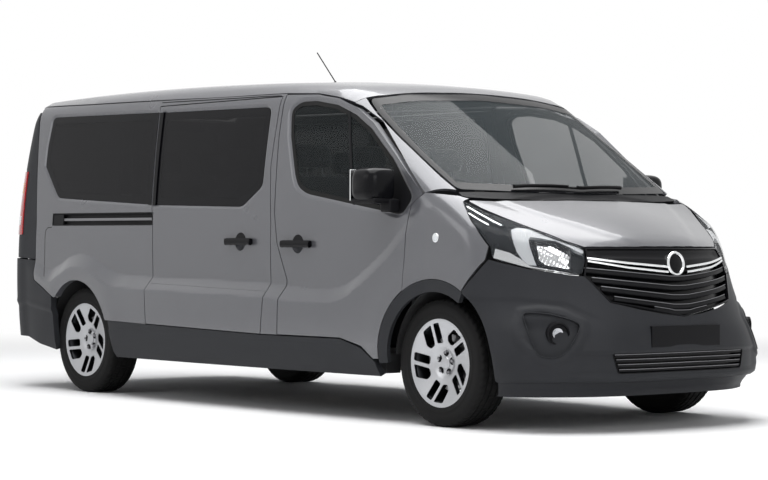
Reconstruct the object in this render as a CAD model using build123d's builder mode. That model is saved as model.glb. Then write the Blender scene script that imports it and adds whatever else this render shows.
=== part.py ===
from build123d import *
import math
import os

import numpy as np

# Long-wheelbase passenger van with glazed sides, twin rear doors and a short sloping bonnet.
# Frame: millimetres, +Z up, the nose points to -Y, +X is the van's left side. The origin is on the
# ground under the middle of the van's length and width.

# ---------------------------------------------------------------- driving dimensions
LENGTH = 5399.0
HALF_LENGTH = LENGTH / 2
WHEELBASE = 3498.0
FRONT_OVERHANG = 933.0
AXLE_FRONT = -HALF_LENGTH + FRONT_OVERHANG
AXLE_REAR = AXLE_FRONT + WHEELBASE
TYRE_R = 340.0
TYRE_W = 215.0
RIM_R = 222.0
TRACK_FRONT = 1615.0
TRACK_REAR = 1628.0
ARCH_Y_FRONT = AXLE_FRONT - 10
ARCH_Y_REAR = AXLE_REAR - 18
ARCH_R_FRONT = 380.0
ARCH_R_REAR = 388.0
LIP_WIDTH = 68.0
BODY_BOTTOM = 235.0
SHUT_GAP = 6.0
DOOR_DEPTH = 48.0
SKIN = 28.0
GLASS = 6.0


# ---------------------------------------------------------------- body form
# The outside is the zero level of one smooth function: the largest of four signed distances
# (sides, top, nose and tail), joined by a rounded maximum, so every panel comes off one form.
def curve(x, pairs):
    """A smooth monotone curve through a few (x, value) pairs."""
    px = np.array([p[0] for p in pairs], float)
    py = np.array([p[1] for p in pairs], float)
    slope = np.gradient(py, px)
    x = np.clip(x, px[0], px[-1])
    i = np.clip(np.searchsorted(px, x) - 1, 0, len(px) - 2)
    h = px[i + 1] - px[i]
    t = (x - px[i]) / h
    return (
        (2 * t**3 - 3 * t**2 + 1) * py[i]
        + (t**3 - 2 * t**2 + t) * h * slope[i]
        + (3 * t**2 - 2 * t**3) * py[i + 1]
        + (t**3 - t**2) * h * slope[i + 1]
    )


def round_max(a, b, k):
    """The larger of two distances, with the corner between them rounded over a band k."""
    h = np.clip(1 - np.abs(a - b) / k, 0, 1)
    return np.maximum(a, b) + h * h * k / 4


SIDE_WIDTH = [
    (200, 900), (300, 930), (430, 946), (600, 955), (760, 957), (900, 955), (1050, 949),
    (1200, 937), (1400, 914), (1600, 886), (1800, 852), (1950, 822), (2100, 786),
]
LEDGE_HEIGHT = [
    (-1640, 1170), (-1540, 1060), (-1400, 930), (-1270, 838), (-1150, 765), (-1050, 712), (-950, 686),
    (-800, 680), (-300, 700), (400, 715), (1100, 728), (1300, 742), (1450, 790), (1580, 838), (1710, 855),
    (1840, 838), (1960, 790), (2080, 752), (2250, 800), (2400, 860),
]
LEDGE_DEPTH = 23.0
LEDGE_HALF_HEIGHT = 42.0


def side_width(y, z):
    """Half width of the side: tumblehome above the waist, a ledge that sweeps up to the mirror, arch flares."""
    ledge = np.clip((curve(y, LEDGE_HEIGHT) - z) / LEDGE_HALF_HEIGHT, -1, 1)
    ledge = 0.5 + 0.25 * (3 * ledge - ledge**3)
    fade = curve(y, [(-1700, 0), (-1600, 0.3), (-1350, 1), (2150, 1), (2300, 0.6), (2400, 0)])
    width = curve(z, SIDE_WIDTH) + LEDGE_DEPTH * ledge * fade
    for centre, radius in ((ARCH_Y_FRONT, ARCH_R_FRONT), (ARCH_Y_REAR, ARCH_R_REAR)):
        r = np.hypot(y - centre, z - TYRE_R) - radius - LIP_WIDTH
        swell = np.exp(-(np.maximum(r, 0) / 120) ** 2) * 14 + np.minimum(r, 0) * 0.10
        below = np.clip((z - BODY_BOTTOM) / 200, 0, 1)
        front = 1.0 if centre < 0 else 0.35
        width = width + swell * below * front
    return width


NOSE_Y = [
    (200, -2600), (250, -2650), (300, -2690), (360, -2696), (450, -2694), (540, -2690), (600, -2676),
    (700, -2654), (800, -2634), (900, -2612), (960, -2596), (1100, -2560), (1500, -2500),
]
NOSE_BOW = [(200, 460), (400, 485), (670, 600), (950, 590), (1500, 590)]
NOSE_POWER = [(200, 3.5), (400, 3.5), (670, 2.6), (950, 2.05), (1500, 2.0)]
BONNET_HEIGHT = [
    (-2800, 770), (-2700, 880), (-2600, 955), (-2500, 1008), (-2400, 1056), (-2300, 1100), (-2200, 1140),
    (-2100, 1176), (-2000, 1210), (-1900, 1244), (-1800, 1276), (-1500, 1360),
]
BONNET_CROWN = [(-2700, 320), (-2440, 256), (-2200, 165), (-1816, 40), (-1500, 20)]
SCREEN_BASE_Y, SCREEN_BASE_Z, SCREEN_SLOPE, SCREEN_BOW = -1950.0, 1240.0, 0.655, 200.0
ROOF_HEIGHT = [
    (-2000, 1660), (-1500, 1780), (-1200, 1838), (-1000, 1872), (-700, 1910), (-300, 1938), (300, 1958),
    (1000, 1968), (2000, 1962), (2400, 1952), (2800, 1936),
]
ROOF_CROWN = 55.0
TAIL_Y = [(200, 2645), (600, 2650), (1100, 2648), (1500, 2622), (1800, 2588), (2000, 2560)]
TAIL_BOW = 50.0


def roof_top(x, y):
    return curve(y, ROOF_HEIGHT) - ROOF_CROWN * (x / 1000) ** 2


def top_height(x, y):
    """Bonnet, then windscreen, then roof."""
    bonnet = curve(y, BONNET_HEIGHT) - curve(y, BONNET_CROWN) * (x / 1000) ** 2
    run = y - SCREEN_BASE_Y - SCREEN_BOW * (x / 1000) ** 2
    screen = SCREEN_BASE_Z + SCREEN_SLOPE * run
    return -round_max(-np.maximum(bonnet, screen), -roof_top(x, y), 60.0)


def form(x, y, z, cabin_only=False):
    """Signed distance outside the body, below zero inside. cabin_only keeps the roof's height right to the nose."""
    side = np.abs(x) - side_width(y, z)
    top = (z - (roof_top(x, np.maximum(y, -700.0)) if cabin_only else top_height(x, y))) * 0.9
    reach = np.abs(x) / 1000
    nose = curve(z, NOSE_Y) + curve(z, NOSE_BOW) * reach ** curve(z, NOSE_POWER) - y
    tail = y - curve(z, TAIL_Y) + TAIL_BOW * reach**2
    body = round_max(side, top, 130.0)
    body = round_max(body, nose * 0.85, 60.0)
    return round_max(body, tail, 150.0)


def reach_surface(origin, direction, level=0.0, far=3200.0, **kind):
    """Distance from each origin along each direction to the level surface, by halving the interval."""
    near_end = np.zeros(len(origin))
    far_end = np.full(len(origin), far)
    for _ in range(44):
        middle = (near_end + far_end) / 2
        p = origin + direction * middle[:, None]
        outside = form(p[:, 0], p[:, 1], p[:, 2], **kind) > level
        far_end = np.where(outside, middle, far_end)
        near_end = np.where(outside, near_end, middle)
    return origin + direction * near_end[:, None]


# ---------------------------------------------------------------- slabs and shells taken off the form
def spread(start, stop, count):
    return [start + (stop - start) * i / (count - 1) for i in range(count)]


def side_slab(y_range, z_range, depth, columns, rows, out=0.0, top=None):
    """A slab of the left side wall, lofted through upright strips of the form's side; out moves it outwards.
    top gives the strips' upper ends where they follow the bonnet's edge."""
    strips = []
    for y in spread(*y_range, columns):
        heights = spread(z_range[0], float(curve(y, top)) if top else z_range[1], rows)
        origins = np.array([(0.0, y, z) for z in heights])
        hits = reach_surface(origins, np.tile((1.0, 0.0, 0.0), (rows, 1)), cabin_only=not top)
        outer = [Vector(p[0] + out, p[1], p[2]) for p in hits]
        inner = [p - Vector(depth, 0, 0) for p in reversed(outer)]
        steps = spread(0.0, 1.0, rows)
        strips.append(
            Wire(
                [
                    Edge.make_spline(outer, parameters=steps),
                    Edge.make_line(outer[-1], inner[0]),
                    Edge.make_spline(inner, parameters=steps),
                    Edge.make_line(inner[-1], outer[0]),
                ]
            )
        )
    return Solid.make_loft(strips)


def level_wire(height, origin_y, turns, level):
    """A horizontal slice of the form around (0, origin_y), closed by a straight line."""
    directions = np.array([(math.sin(a), -math.cos(a), 0.0) for a in turns])
    origins = np.tile((0.0, origin_y, height), (len(turns), 1))
    points = [Vector(*p) for p in reach_surface(origins, directions, level)]
    steps = [(a - turns[0]) / (turns[-1] - turns[0]) for a in turns]
    return Wire([Edge.make_spline(points, parameters=steps), Edge.make_line(points[-1], points[0])])


def ring_solid(heights, origin_y, turns, level):
    """The body's form between two heights, lofted through horizontal slices, sunk by -level."""
    return Solid.make_loft([level_wire(h, origin_y, turns, level) for h in heights])


def cross_wire(station, origin_z, turns, level):
    """A transverse slice of the form above origin_z, closed by a straight line."""
    directions = np.array([(math.cos(a), 0.0, math.sin(a)) for a in turns])
    origins = np.tile((0.0, station, origin_z), (len(turns), 1))
    points = [Vector(*p) for p in reach_surface(origins, directions, level)]
    steps = [(a - turns[0]) / (turns[-1] - turns[0]) for a in turns]
    return Wire([Edge.make_spline(points, parameters=steps), Edge.make_line(points[-1], points[0])])


def cross_solid(stations, origin_z, turns, level):
    """The body's form above origin_z, lofted through transverse slices, sunk by -level."""
    return Solid.make_loft([cross_wire(y, origin_z, turns, level) for y in stations])


def shell_between(outer, inner):
    """The wall left when the sunk form is taken out of the outer one."""
    with BuildPart(mode=Mode.PRIVATE) as wall:
        add(outer)
        add(inner, mode=Mode.SUBTRACT)
    return wall.part


def outline_block(plane, outline, start, stop, grow=0.0, corner=0.0):
    """A prism on an outline, from start to stop along the plane's normal; grow widens the outline all round."""
    with BuildPart(mode=Mode.PRIVATE) as block:
        with BuildSketch(plane.offset(start)) as sketch:
            with BuildLine():
                Polyline(*outline, close=True)
            make_face()
            if corner:
                fillet(sketch.vertices(), corner)
            if grow:
                offset(amount=grow, kind=Kind.INTERSECTION)
        extrude(amount=stop - start, dir=plane.z_dir)
    return block.part


def side_block(outline, start=400.0, stop=1200.0, grow=0.0, corner=0.0):
    """A prism across the van on a side-view outline of (y, z) points."""
    return outline_block(Plane.YZ, outline, start, stop, grow, corner)


def front_block(outline, start, stop, grow=0.0, corner=0.0):
    """A prism along the van on a front-view outline of (x, z) points, between two stations y."""
    facing_back = Plane(origin=(0, 0, 0), x_dir=(-1, 0, 0), z_dir=(0, 1, 0))
    return outline_block(facing_back, [(-x, z) for x, z in outline], start, stop, grow, corner)


def plan_block(outline, start, stop, grow=0.0, corner=0.0):
    """An upright prism on a plan outline of (x, y) points, between two heights."""
    return outline_block(Plane.XY, outline, start, stop, grow, corner)


def box_between(x, y, z):
    """A box between two corners, given as ranges."""
    with BuildPart(mode=Mode.PRIVATE) as block:
        with Locations(((x[0] + x[1]) / 2, (y[0] + y[1]) / 2, (z[0] + z[1]) / 2)):
            Box(x[1] - x[0], y[1] - y[0], z[1] - z[0])
    return block.part


def across(radius, y, z, start, stop):
    """A cylinder lying across the van, from x=start to x=stop."""
    with BuildPart(mode=Mode.PRIVATE) as block:
        with BuildSketch(Plane.YZ.offset(start)):
            with Locations((y, z)):
                Circle(radius)
        extrude(amount=stop - start)
    return block.part


def arc_points(centre, radius, first, last, count):
    """Points on a wheel arch seen from the side; angles in degrees from +Y towards +Z."""
    return [
        (centre + radius * math.cos(math.radians(a)), TYRE_R + radius * math.sin(math.radians(a)))
        for a in spread(first, last, count)
    ]


def save(part, name):
    part.label = name
    export_step(part, "parts/" + name + ".step")


def both_sides(part):
    """The part and its mirror image."""
    with BuildPart(mode=Mode.PRIVATE) as pair:
        add(part)
        mirror(part, about=Plane.YZ)
    return pair.part


os.makedirs("parts", exist_ok=True)

# ---------------------------------------------------------------- outlines, side view (y, z)
LIP_FRONT = ARCH_R_FRONT + LIP_WIDTH
LIP_REAR = ARCH_R_REAR + LIP_WIDTH
WING_TOP = [(-2200, 1030), (-2100, 1090), (-2000, 1148), (-1900, 1198), (-1860, 1216), (-1700, 1222), (-1500, 1226)]
FRONT_DOOR = [
    (-322, 1836), (-318, 1596), (-349, 1150), (-388, 973), (-491, 763), (-482, 651), (-466, 452),
    (-1012, 452), (-1188, 412), (-1285, 345),
    *arc_points(ARCH_Y_FRONT, LIP_FRONT + 4, 1, 58, 8),
    (-1541, 1096), (-1560, 1180), (-1648, 1240), (-1383, 1467), (-1165, 1645), (-1008, 1732),
    (-825, 1792), (-614, 1824),
]
FRONT_DOOR_GLASS = [
    (-540, 1297), (-626, 1258), (-1500, 1107), (-1536, 1172), (-1592, 1226), (-1366, 1432), (-1146, 1608), (-995, 1692),
    (-818, 1755), (-614, 1788), (-471, 1789), (-393, 1744), (-420, 1591), (-500, 1368),
]
SLIDING_DOOR = [
    (967, 1821), (927, 1198), (902, 1074), (874, 625), (870, 473), (-303, 450), (-336, 648), (-313, 1088),
    (-265, 1419), (-281, 1825),
]
SLIDING_GLASS = [
    (915, 1203), (-13, 1183), (-201, 1304), (-202, 1366), (-199, 1753), (-164, 1777), (940, 1789),
]
QUARTER_GLASS = [(2246, 1812), (2266, 1600), (2262, 1476), (2058, 1260), (948, 1206), (985, 1792)]
SIDE_PANEL = [
    (-600, 1842), (1044, 1862), (1800, 1872), (2420, 1882), (2374, 1629), (2291, 1106), (2286, 749),
    (2276, 721), (2124, 661), (2010, 610),
    *arc_points(ARCH_Y_REAR, ARCH_R_REAR, 45, 158, 12),
    (1346, 482), (-303, 450), (-600, 450),
]
CORNER_PANEL = [(2430, 1856), (2377, 1629), (2294, 1106), (2291, 851), (2308, 851), (2800, 870), (2800, 1856)]
ROOF_SIDE = [
    (-1200, 1800), (-942, 1790), (-890, 1730), (-600, 1730), (-600, 1848), (326, 1854), (1044, 1868), (1800, 1878),
    (2416, 1888), (2440, 1862), (2700, 1862), (2700, 2050), (-1200, 2050),
]

# ---------------------------------------------------------------- shells
bumper_turns = [math.radians(a) for a in spread(92, -92, 27)]
bumper_heights = [184, 240, 320, 430, 560, 700, 830, 960]
bumper_outer = ring_solid(bumper_heights, -1500.0, bumper_turns, 0.0)
bumper_inner = ring_solid([183] + bumper_heights[1:-1] + [961], -1500.0, bumper_turns, -SKIN)
nose_turns = [math.radians(a) for a in spread(92, -92, 29)]
nose_heights = [184, 240, 300, 400, 540, 680, 800, 900, 955, 1020, 1100, 1170, 1230]
nose_outer = ring_solid(nose_heights, -1500.0, nose_turns, 0.0)
nose_inner = ring_solid([183] + nose_heights[1:-1] + [1231], -1500.0, nose_turns, -SKIN)

tail_turns = [math.radians(a) for a in [88, 96, 104, 112, 117, 121, 125, 129, 134, 142, 155, 167, 180, 193, 205, 218]]
tail_turns += [math.radians(a) for a in [226, 231, 235, 239, 243, 248, 256, 264, 272]]
tail_heights = [250, 500, 750, 1000, 1250, 1500, 1700, 1800, 1868]
tail_outer = ring_solid(tail_heights, 1990.0, tail_turns, 0.0)
tail_inner = ring_solid([249] + tail_heights[1:-1] + [1869], 1990.0, tail_turns, -DOOR_DEPTH)

screen_turns = [math.radians(a) for a in spread(-2, 182, 27)]
screen_stations = [-1985, -1900, -1800, -1680, -1540, -1380, -1220, -1090, -1000, -920, -820]
screen_outer = cross_solid(screen_stations, 1100.0, screen_turns, 0.0)
screen_inner = cross_solid([-1986] + screen_stations[1:-1] + [-819], 1100.0, screen_turns, -42.0)

roof_turns = [math.radians(a) for a in spread(8, 172, 25)]
roof_stations = [-1090, -980, -860, -600, -100, 900, 1900, 2300, 2430, 2500, 2545, 2568]
roof_outer = cross_solid(roof_stations, 1500.0, roof_turns, 0.0)
roof_inner = cross_solid([-1091] + roof_stations[1:-1] + [2569], 1500.0, roof_turns, -SKIN)

bonnet_turns = [math.radians(a) for a in spread(14, 166, 25)]
bonnet_stations = [-2592, -2560, -2500, -2420, -2300, -2150, -1980, -1800]
bonnet_outer = cross_solid(bonnet_stations, 700.0, bonnet_turns, 0.0)
bonnet_inner = cross_solid([-2593] + bonnet_stations[1:-1] + [-1799], 700.0, bonnet_turns, -24.0)
bonnet_shell = shell_between(bonnet_outer, bonnet_inner)

# ---------------------------------------------------------------- front outlines
# The bonnet's plan edge; the block tapers so the lid can lift forwards without touching the lamps.
BONNET_EDGE = [
    (0, -2860), (598, -2860), (598, -2470), (647, -2411), (737, -2237), (848, -1990), (864, -1905),
    (838, -1862), (550, -1931), (300, -1970), (0, -1988),
    (-300, -1970), (-550, -1931), (-838, -1862), (-864, -1905), (-848, -1990), (-737, -2237),
    (-647, -2411), (-598, -2470), (-598, -2860),
]
BONNET_FRONT_Z = 958.0
BONNET_TAPER = 15.0
WINDSCREEN = [
    (804, 1263), (815, 1400), (812, 1560), (796, 1700), (768, 1788), (500, 1824), (0, 1844), (-500, 1824),
    (-768, 1788), (-796, 1700), (-812, 1560), (-815, 1400), (-804, 1263), (-400, 1252), (0, 1248), (400, 1252),
]
HEADLAMP_FRONT = [
    (960, 1260), (499, 1260), (499, 954), (546, 812), (763, 848), (870, 884), (960, 896),
]
HEADLAMP_SIDE = [
    (-1886, 1206), (-1954, 1149), (-2053, 1059), (-2133, 960), (-2139, 890), (-2139, 600), (-2700, 600),
    (-2700, 1260), (-1886, 1260),
]
GRILLE = [(497, 950), (541, 812), (452, 676), (0, 600), (-452, 676), (-541, 812), (-497, 950)]
LOWER_GRILLE = [(500, 414), (468, 306), (-468, 306), (-500, 414)]
FOG_RECESS = [(840, 632), (606, 572), (655, 480), (770, 385), (862, 404)]
BUMPER_SIDE = [
    (-2800, 100), (-2800, 945), (-2136, 945), (-2136, 896), (-1977, 685), (-1900, 600), (-1900, 100),
]
WING_SIDE = [
    (-1560, 1214), (-1547, 1090), (-1547, 600), (-1894, 600), (-1972, 688), (-2130, 900), (-2130, 1214),
]


def bonnet_block(grow):
    """The tapered block above the bonnet's plan edge."""
    with BuildPart(mode=Mode.PRIVATE) as block:
        with BuildSketch(Plane.XY.offset(1330)):
            with BuildLine():
                Polyline(*BONNET_EDGE, close=True)
            make_face()
            if grow:
                offset(amount=grow, kind=Kind.INTERSECTION)
        extrude(amount=-(1330 - BONNET_FRONT_Z + grow), taper=BONNET_TAPER)
    return block.part


bonnet_opening = bonnet_block(SHUT_GAP)
windscreen_block = front_block(WINDSCREEN, -2100, -850)

# ---------------------------------------------------------------- bonnet
with BuildPart() as bonnet:
    add(bonnet_shell)
    add(bonnet_block(0.0), mode=Mode.INTERSECT)
save(bonnet.part, "bonnet")

# ---------------------------------------------------------------- headlamps
BEHIND_LAMP = [(0, -1850), (806, -1850), (806, -1940), (780, -1990), (640, -2250), (440, -2430), (0, -2430)]
with BuildPart() as lamp_left:
    add(front_block(HEADLAMP_FRONT, -2700, -1700))
    add(side_block(HEADLAMP_SIDE, 0, 1100), mode=Mode.INTERSECT)
    add(plan_block(BEHIND_LAMP, 500, 1400), mode=Mode.SUBTRACT)
    add(bonnet_opening, mode=Mode.SUBTRACT)
    add(nose_outer, mode=Mode.INTERSECT)
    with Locations((-40, 75, -20)):
        add(nose_outer, mode=Mode.SUBTRACT)

# ---------------------------------------------------------------- fog lamps
with BuildPart() as fog_lamp:
    with BuildSketch(Plane(origin=(715, -2484, 521), x_dir=(0.84, 0.54, 0), z_dir=(0.54, -0.84, 0))):
        Circle(52)
    extrude(amount=8)
    extrude(faces().sort_by(Axis((0, 0, 0), (0.54, -0.84, 0)))[-1], amount=6, taper=40)
    mirror(about=Plane.YZ)

# ---------------------------------------------------------------- front bumper
with BuildPart() as bumper_region:
    add(side_block(BUMPER_SIDE, -1100, 1100))
    for sign in (-1, 1):
        lamp_outline = [(sign * x, z) for x, z in HEADLAMP_FRONT]
        fog_outline = [(sign * x, z) for x, z in FOG_RECESS]
        add(front_block(lamp_outline, -2800, -1900, grow=4), mode=Mode.SUBTRACT)
        add(front_block(fog_outline, -2800, -2000), mode=Mode.SUBTRACT)
    add(front_block(GRILLE, -2800, -2300), mode=Mode.SUBTRACT)
    add(front_block(LOWER_GRILLE, -2800, -2300), mode=Mode.SUBTRACT)
    add(across(LIP_FRONT + 1, ARCH_Y_FRONT, TYRE_R, -1200, 1200), mode=Mode.SUBTRACT)
with BuildPart() as fog_backing:
    add(front_block(FOG_RECESS, -2700, -2000, grow=10))
    with Locations((-12, 21, 0)):
        add(bumper_outer, mode=Mode.INTERSECT)
    with Locations((-30, 52, 0)):
        add(bumper_outer, mode=Mode.SUBTRACT)
with BuildPart() as front_bumper:
    add(bumper_region.part)
    add(bumper_outer, mode=Mode.INTERSECT)
    add(bumper_inner, mode=Mode.SUBTRACT)
    add(both_sides(fog_backing.part))
    add(box_between((-260, 260), (-2694, -2650), (439, 550)))
    add(fog_lamp.part, mode=Mode.SUBTRACT)
save(front_bumper.part, "front_bumper")

with BuildPart() as front_lamps:
    add(both_sides(lamp_left.part))
    add(fog_lamp.part)
save(front_lamps.part, "front_lamps")

# ---------------------------------------------------------------- grilles: a backing plate with bars standing on it
with BuildPart() as grille_slots:
    add(front_block([(470, 936), (518, 812), (440, 690), (0, 618), (0, 936)], -2800, -2000))
    for row in range(6):
        low = 836 - row * 50
        add(front_block([(0, low), (560, low + 50), (560, low + 76), (0, low + 26)], -2800, -2000), mode=Mode.SUBTRACT)
    mirror(about=Plane.YZ)
with BuildPart() as grille_face:
    add(front_block(GRILLE, -2750, -2300, grow=-1))
    add(grille_slots.part, mode=Mode.SUBTRACT)
    add(bumper_outer, mode=Mode.INTERSECT)
    with Locations((0, 26, 0)):
        add(bumper_outer, mode=Mode.SUBTRACT)
with BuildPart() as grille:
    add(front_block(GRILLE, -2750, -2300, grow=-1))
    with Locations((0, 26, 0)):
        add(bumper_outer, mode=Mode.INTERSECT)
    with Locations((0, 42, 0)):
        add(bumper_outer, mode=Mode.SUBTRACT)
    add(grille_face.part)
    with BuildSketch(Plane(origin=(0, -2588, 868), x_dir=(1, 0, 0), z_dir=(0, -1, 0.12))):
        Circle(68)
    extrude(amount=34)
    for row in range(4):
        height = 316 + row * 26
        add(box_between((-462, 462), (-2650, -2614), (height, height + 11)))
    for column in (-320, 0, 320):
        add(box_between((column - 8, column + 8), (-2640, -2614), (309, 411)))
    add(box_between((-496, 496), (-2614, -2600), (303, 417)))
save(grille.part, "grilles")

# ---------------------------------------------------------------- wings
with BuildPart() as wing_skin:
    add(side_block(WING_SIDE, 500, 1100))
    add(bonnet_opening, mode=Mode.SUBTRACT)
    add(side_block(HEADLAMP_SIDE, 300, 1100, grow=3), mode=Mode.SUBTRACT)
    add(across(LIP_FRONT + 1, ARCH_Y_FRONT, TYRE_R, 300, 1200), mode=Mode.SUBTRACT)
    add(side_block(FRONT_DOOR, 500, 1100, grow=SHUT_GAP), mode=Mode.SUBTRACT)
    add(side_slab((-2160, -1540), (580, 0), SKIN, 10, 14, top=WING_TOP), mode=Mode.INTERSECT)
LIP_OUTLINE = [
    *arc_points(ARCH_Y_FRONT, LIP_FRONT, -2, 122, 24),
    *arc_points(ARCH_Y_FRONT, ARCH_R_FRONT, 124, -2, 24),
]
with BuildPart() as lip_left:
    add(side_block(LIP_OUTLINE, 700))
    add(side_slab((-2025, -1318), (300, 800), SKIN, 12, 9), mode=Mode.INTERSECT)
with BuildPart() as wings:
    add(wing_skin.part)
    add(lip_left.part)
    mirror(about=Plane.YZ)
save(wings.part, "front_wings")

# ---------------------------------------------------------------- windscreen, pillars, scuttle
with BuildPart() as windscreen:
    add(windscreen_block)
    add(screen_outer, mode=Mode.INTERSECT)
    with Locations((0, 5, -7)):
        add(screen_outer, mode=Mode.SUBTRACT)
save(windscreen.part, "windscreen")

SCUTTLE_PLAN = [
    (0, -1981), (300, -1963), (550, -1924), (800, -1859), (812, -1842), (806, -1805), (550, -1875),
    (300, -1915), (0, -1934), (-300, -1915), (-550, -1875), (-806, -1805), (-812, -1842), (-800, -1859),
    (-550, -1924), (-300, -1963),
]
PILLAR_SIDE = [(-1985, 1222), (-1985, 1300), (-1100, 1900), (-850, 1850), (-850, 1700), (-1500, 1222)]
with BuildPart() as pillar_left:
    add(side_block(PILLAR_SIDE, 300))
    add(windscreen_block, mode=Mode.SUBTRACT)
    add(side_block(FRONT_DOOR, 300, grow=SHUT_GAP), mode=Mode.SUBTRACT)
    add(side_block(ROOF_SIDE, 0), mode=Mode.SUBTRACT)
    add(bonnet_opening, mode=Mode.SUBTRACT)
    add(plan_block(SCUTTLE_PLAN, 1100, 1400, grow=3), mode=Mode.SUBTRACT)
    add(screen_outer, mode=Mode.INTERSECT)
    add(screen_inner, mode=Mode.SUBTRACT)
save(both_sides(pillar_left.part), "windscreen_pillars")

with BuildPart() as scuttle:
    add(plan_block(SCUTTLE_PLAN, 1150, 1400))
    add(windscreen_block, mode=Mode.SUBTRACT)
    add(bonnet_opening, mode=Mode.SUBTRACT)
    add(bonnet_outer, mode=Mode.INTERSECT)
    with Locations((0, 0, -30)):
        add(bonnet_outer, mode=Mode.SUBTRACT)
    add(box_between((-786, 786), (-1900, -1560), (1120, 1140)))
    add(box_between((-20, 20), (-1960, -1880), (1130, 1210)))
save(scuttle.part, "scuttle")

# ---------------------------------------------------------------- roof with antenna
with BuildPart() as roof:
    add(side_block(ROOF_SIDE, -1200, 1200))
    add(windscreen_block, mode=Mode.SUBTRACT)
    add(side_block(FRONT_DOOR, 300, 1200, grow=SHUT_GAP), mode=Mode.SUBTRACT)
    add(side_block(FRONT_DOOR, -1200, -300, grow=SHUT_GAP), mode=Mode.SUBTRACT)
    add(roof_outer, mode=Mode.INTERSECT)
    add(roof_inner, mode=Mode.SUBTRACT)
    with BuildSketch(Plane(origin=(0, 262, 1945), x_dir=(1, 0, 0), z_dir=(0, 0, 1))):
        Ellipse(20, 42)
    extrude(amount=26, taper=14)
    with BuildSketch(Plane(origin=(0, 260, 1955), x_dir=(1, 0, 0), z_dir=(0, 0.69, 0.72))):
        Circle(5)
    extrude(amount=300)
save(roof.part, "roof")

# ---------------------------------------------------------------- sides
with BuildPart() as side_left:
    add(side_block(SIDE_PANEL))
    add(side_block(FRONT_DOOR, grow=SHUT_GAP), mode=Mode.SUBTRACT)
    add(side_block(SLIDING_DOOR, grow=SHUT_GAP), mode=Mode.SUBTRACT)
    add(side_block(QUARTER_GLASS[:4] + [(1020, 1230), (1040, 1765), (2200, 1782)], grow=-22), mode=Mode.SUBTRACT)
    add(box_between((928, 1200), (985, 2100), (1082, 1160)), mode=Mode.SUBTRACT)
    add(side_slab((-620, 2440), (446, 1884), 55, 18, 24), mode=Mode.INTERSECT)
with BuildPart() as quarter_left:
    add(side_block(QUARTER_GLASS))
    add(side_block(SLIDING_DOOR, grow=SHUT_GAP), mode=Mode.SUBTRACT)
    add(side_slab((930, 2285), (1190, 1825), GLASS - 0.3, 5, 7), mode=Mode.INTERSECT)
with BuildPart() as quarter_recess:
    add(side_block(QUARTER_GLASS, grow=0.3))
    add(side_slab((930, 2285), (1190, 1825), GLASS + 20, 5, 7, out=20), mode=Mode.INTERSECT)
with BuildPart() as body_side_left:
    add(side_left.part)
    add(quarter_recess.part, mode=Mode.SUBTRACT)
save(body_side_left.part, "body_side_left")
with BuildPart() as body_side_right:
    mirror(body_side_left.part, about=Plane.YZ)
save(body_side_right.part, "body_side_right")

# ---------------------------------------------------------------- sliding doors
with BuildPart() as sliding_glass_left:
    add(side_block(SLIDING_GLASS))
    add(side_slab((-215, 955), (1170, 1805), GLASS - 0.3, 4, 7), mode=Mode.INTERSECT)
with BuildPart() as sliding_recess:
    add(side_block(SLIDING_GLASS, grow=0.3))
    add(side_slab((-215, 955), (1170, 1805), GLASS + 20, 4, 7, out=20), mode=Mode.INTERSECT)
with BuildPart() as sliding_door_left:
    add(side_block(SLIDING_DOOR))
    add(side_block([(875, 1245), (-140, 1240), (-155, 1740), (890, 1752)], corner=25), mode=Mode.SUBTRACT)
    add(side_slab((-345, 972), (450, 1830), DOOR_DEPTH, 5, 24), mode=Mode.INTERSECT)
    add(sliding_recess.part, mode=Mode.SUBTRACT)
    add(box_between((940, 985), (-148, 108), (968, 994)))
save(sliding_door_left.part, "sliding_door_left")
with BuildPart() as sliding_door_right:
    mirror(sliding_door_left.part, about=Plane.YZ)
save(sliding_door_right.part, "sliding_door_right")
with BuildPart() as side_glass:
    add(quarter_left.part)
    add(sliding_glass_left.part)
    mirror(about=Plane.YZ)
save(side_glass.part, "side_glass")

# ---------------------------------------------------------------- front doors with mirror and handle
with BuildPart() as door_glass_left:
    add(side_block(FRONT_DOOR_GLASS))
    add(side_slab((-1620, -380), (1095, 1800), GLASS, 6, 8, out=-10), mode=Mode.INTERSECT)
save(door_glass_left.part, "front_door_glass_left")
with BuildPart() as door_glass_right:
    mirror(door_glass_left.part, about=Plane.YZ)
save(door_glass_right.part, "front_door_glass_right")

with BuildPart() as mirror_left:
    with Locations((1052, -1350, 1288)):
        Box(176, 238, 200)
    fillet(mirror_left.edges().filter_by(Axis.X), 60)
    fillet(mirror_left.faces().sort_by(Axis.X)[-1].edges(), 30)
    add(box_between((938, 1015), (-1475, -1380), (1062, 1205)))
with BuildPart() as front_door_left:
    add(side_block(FRONT_DOOR))
    add(side_block(FRONT_DOOR_GLASS), mode=Mode.SUBTRACT)
    add(side_slab((-1655, -316), (340, 1840), DOOR_DEPTH, 14, 26), mode=Mode.INTERSECT)
    add(box_between((940, 988), (-712, -439), (956, 984)))
    add(mirror_left.part)
save(front_door_left.part, "front_door_left")
with BuildPart() as front_door_right:
    mirror(front_door_left.part, about=Plane.YZ)
save(front_door_right.part, "front_door_right")

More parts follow.
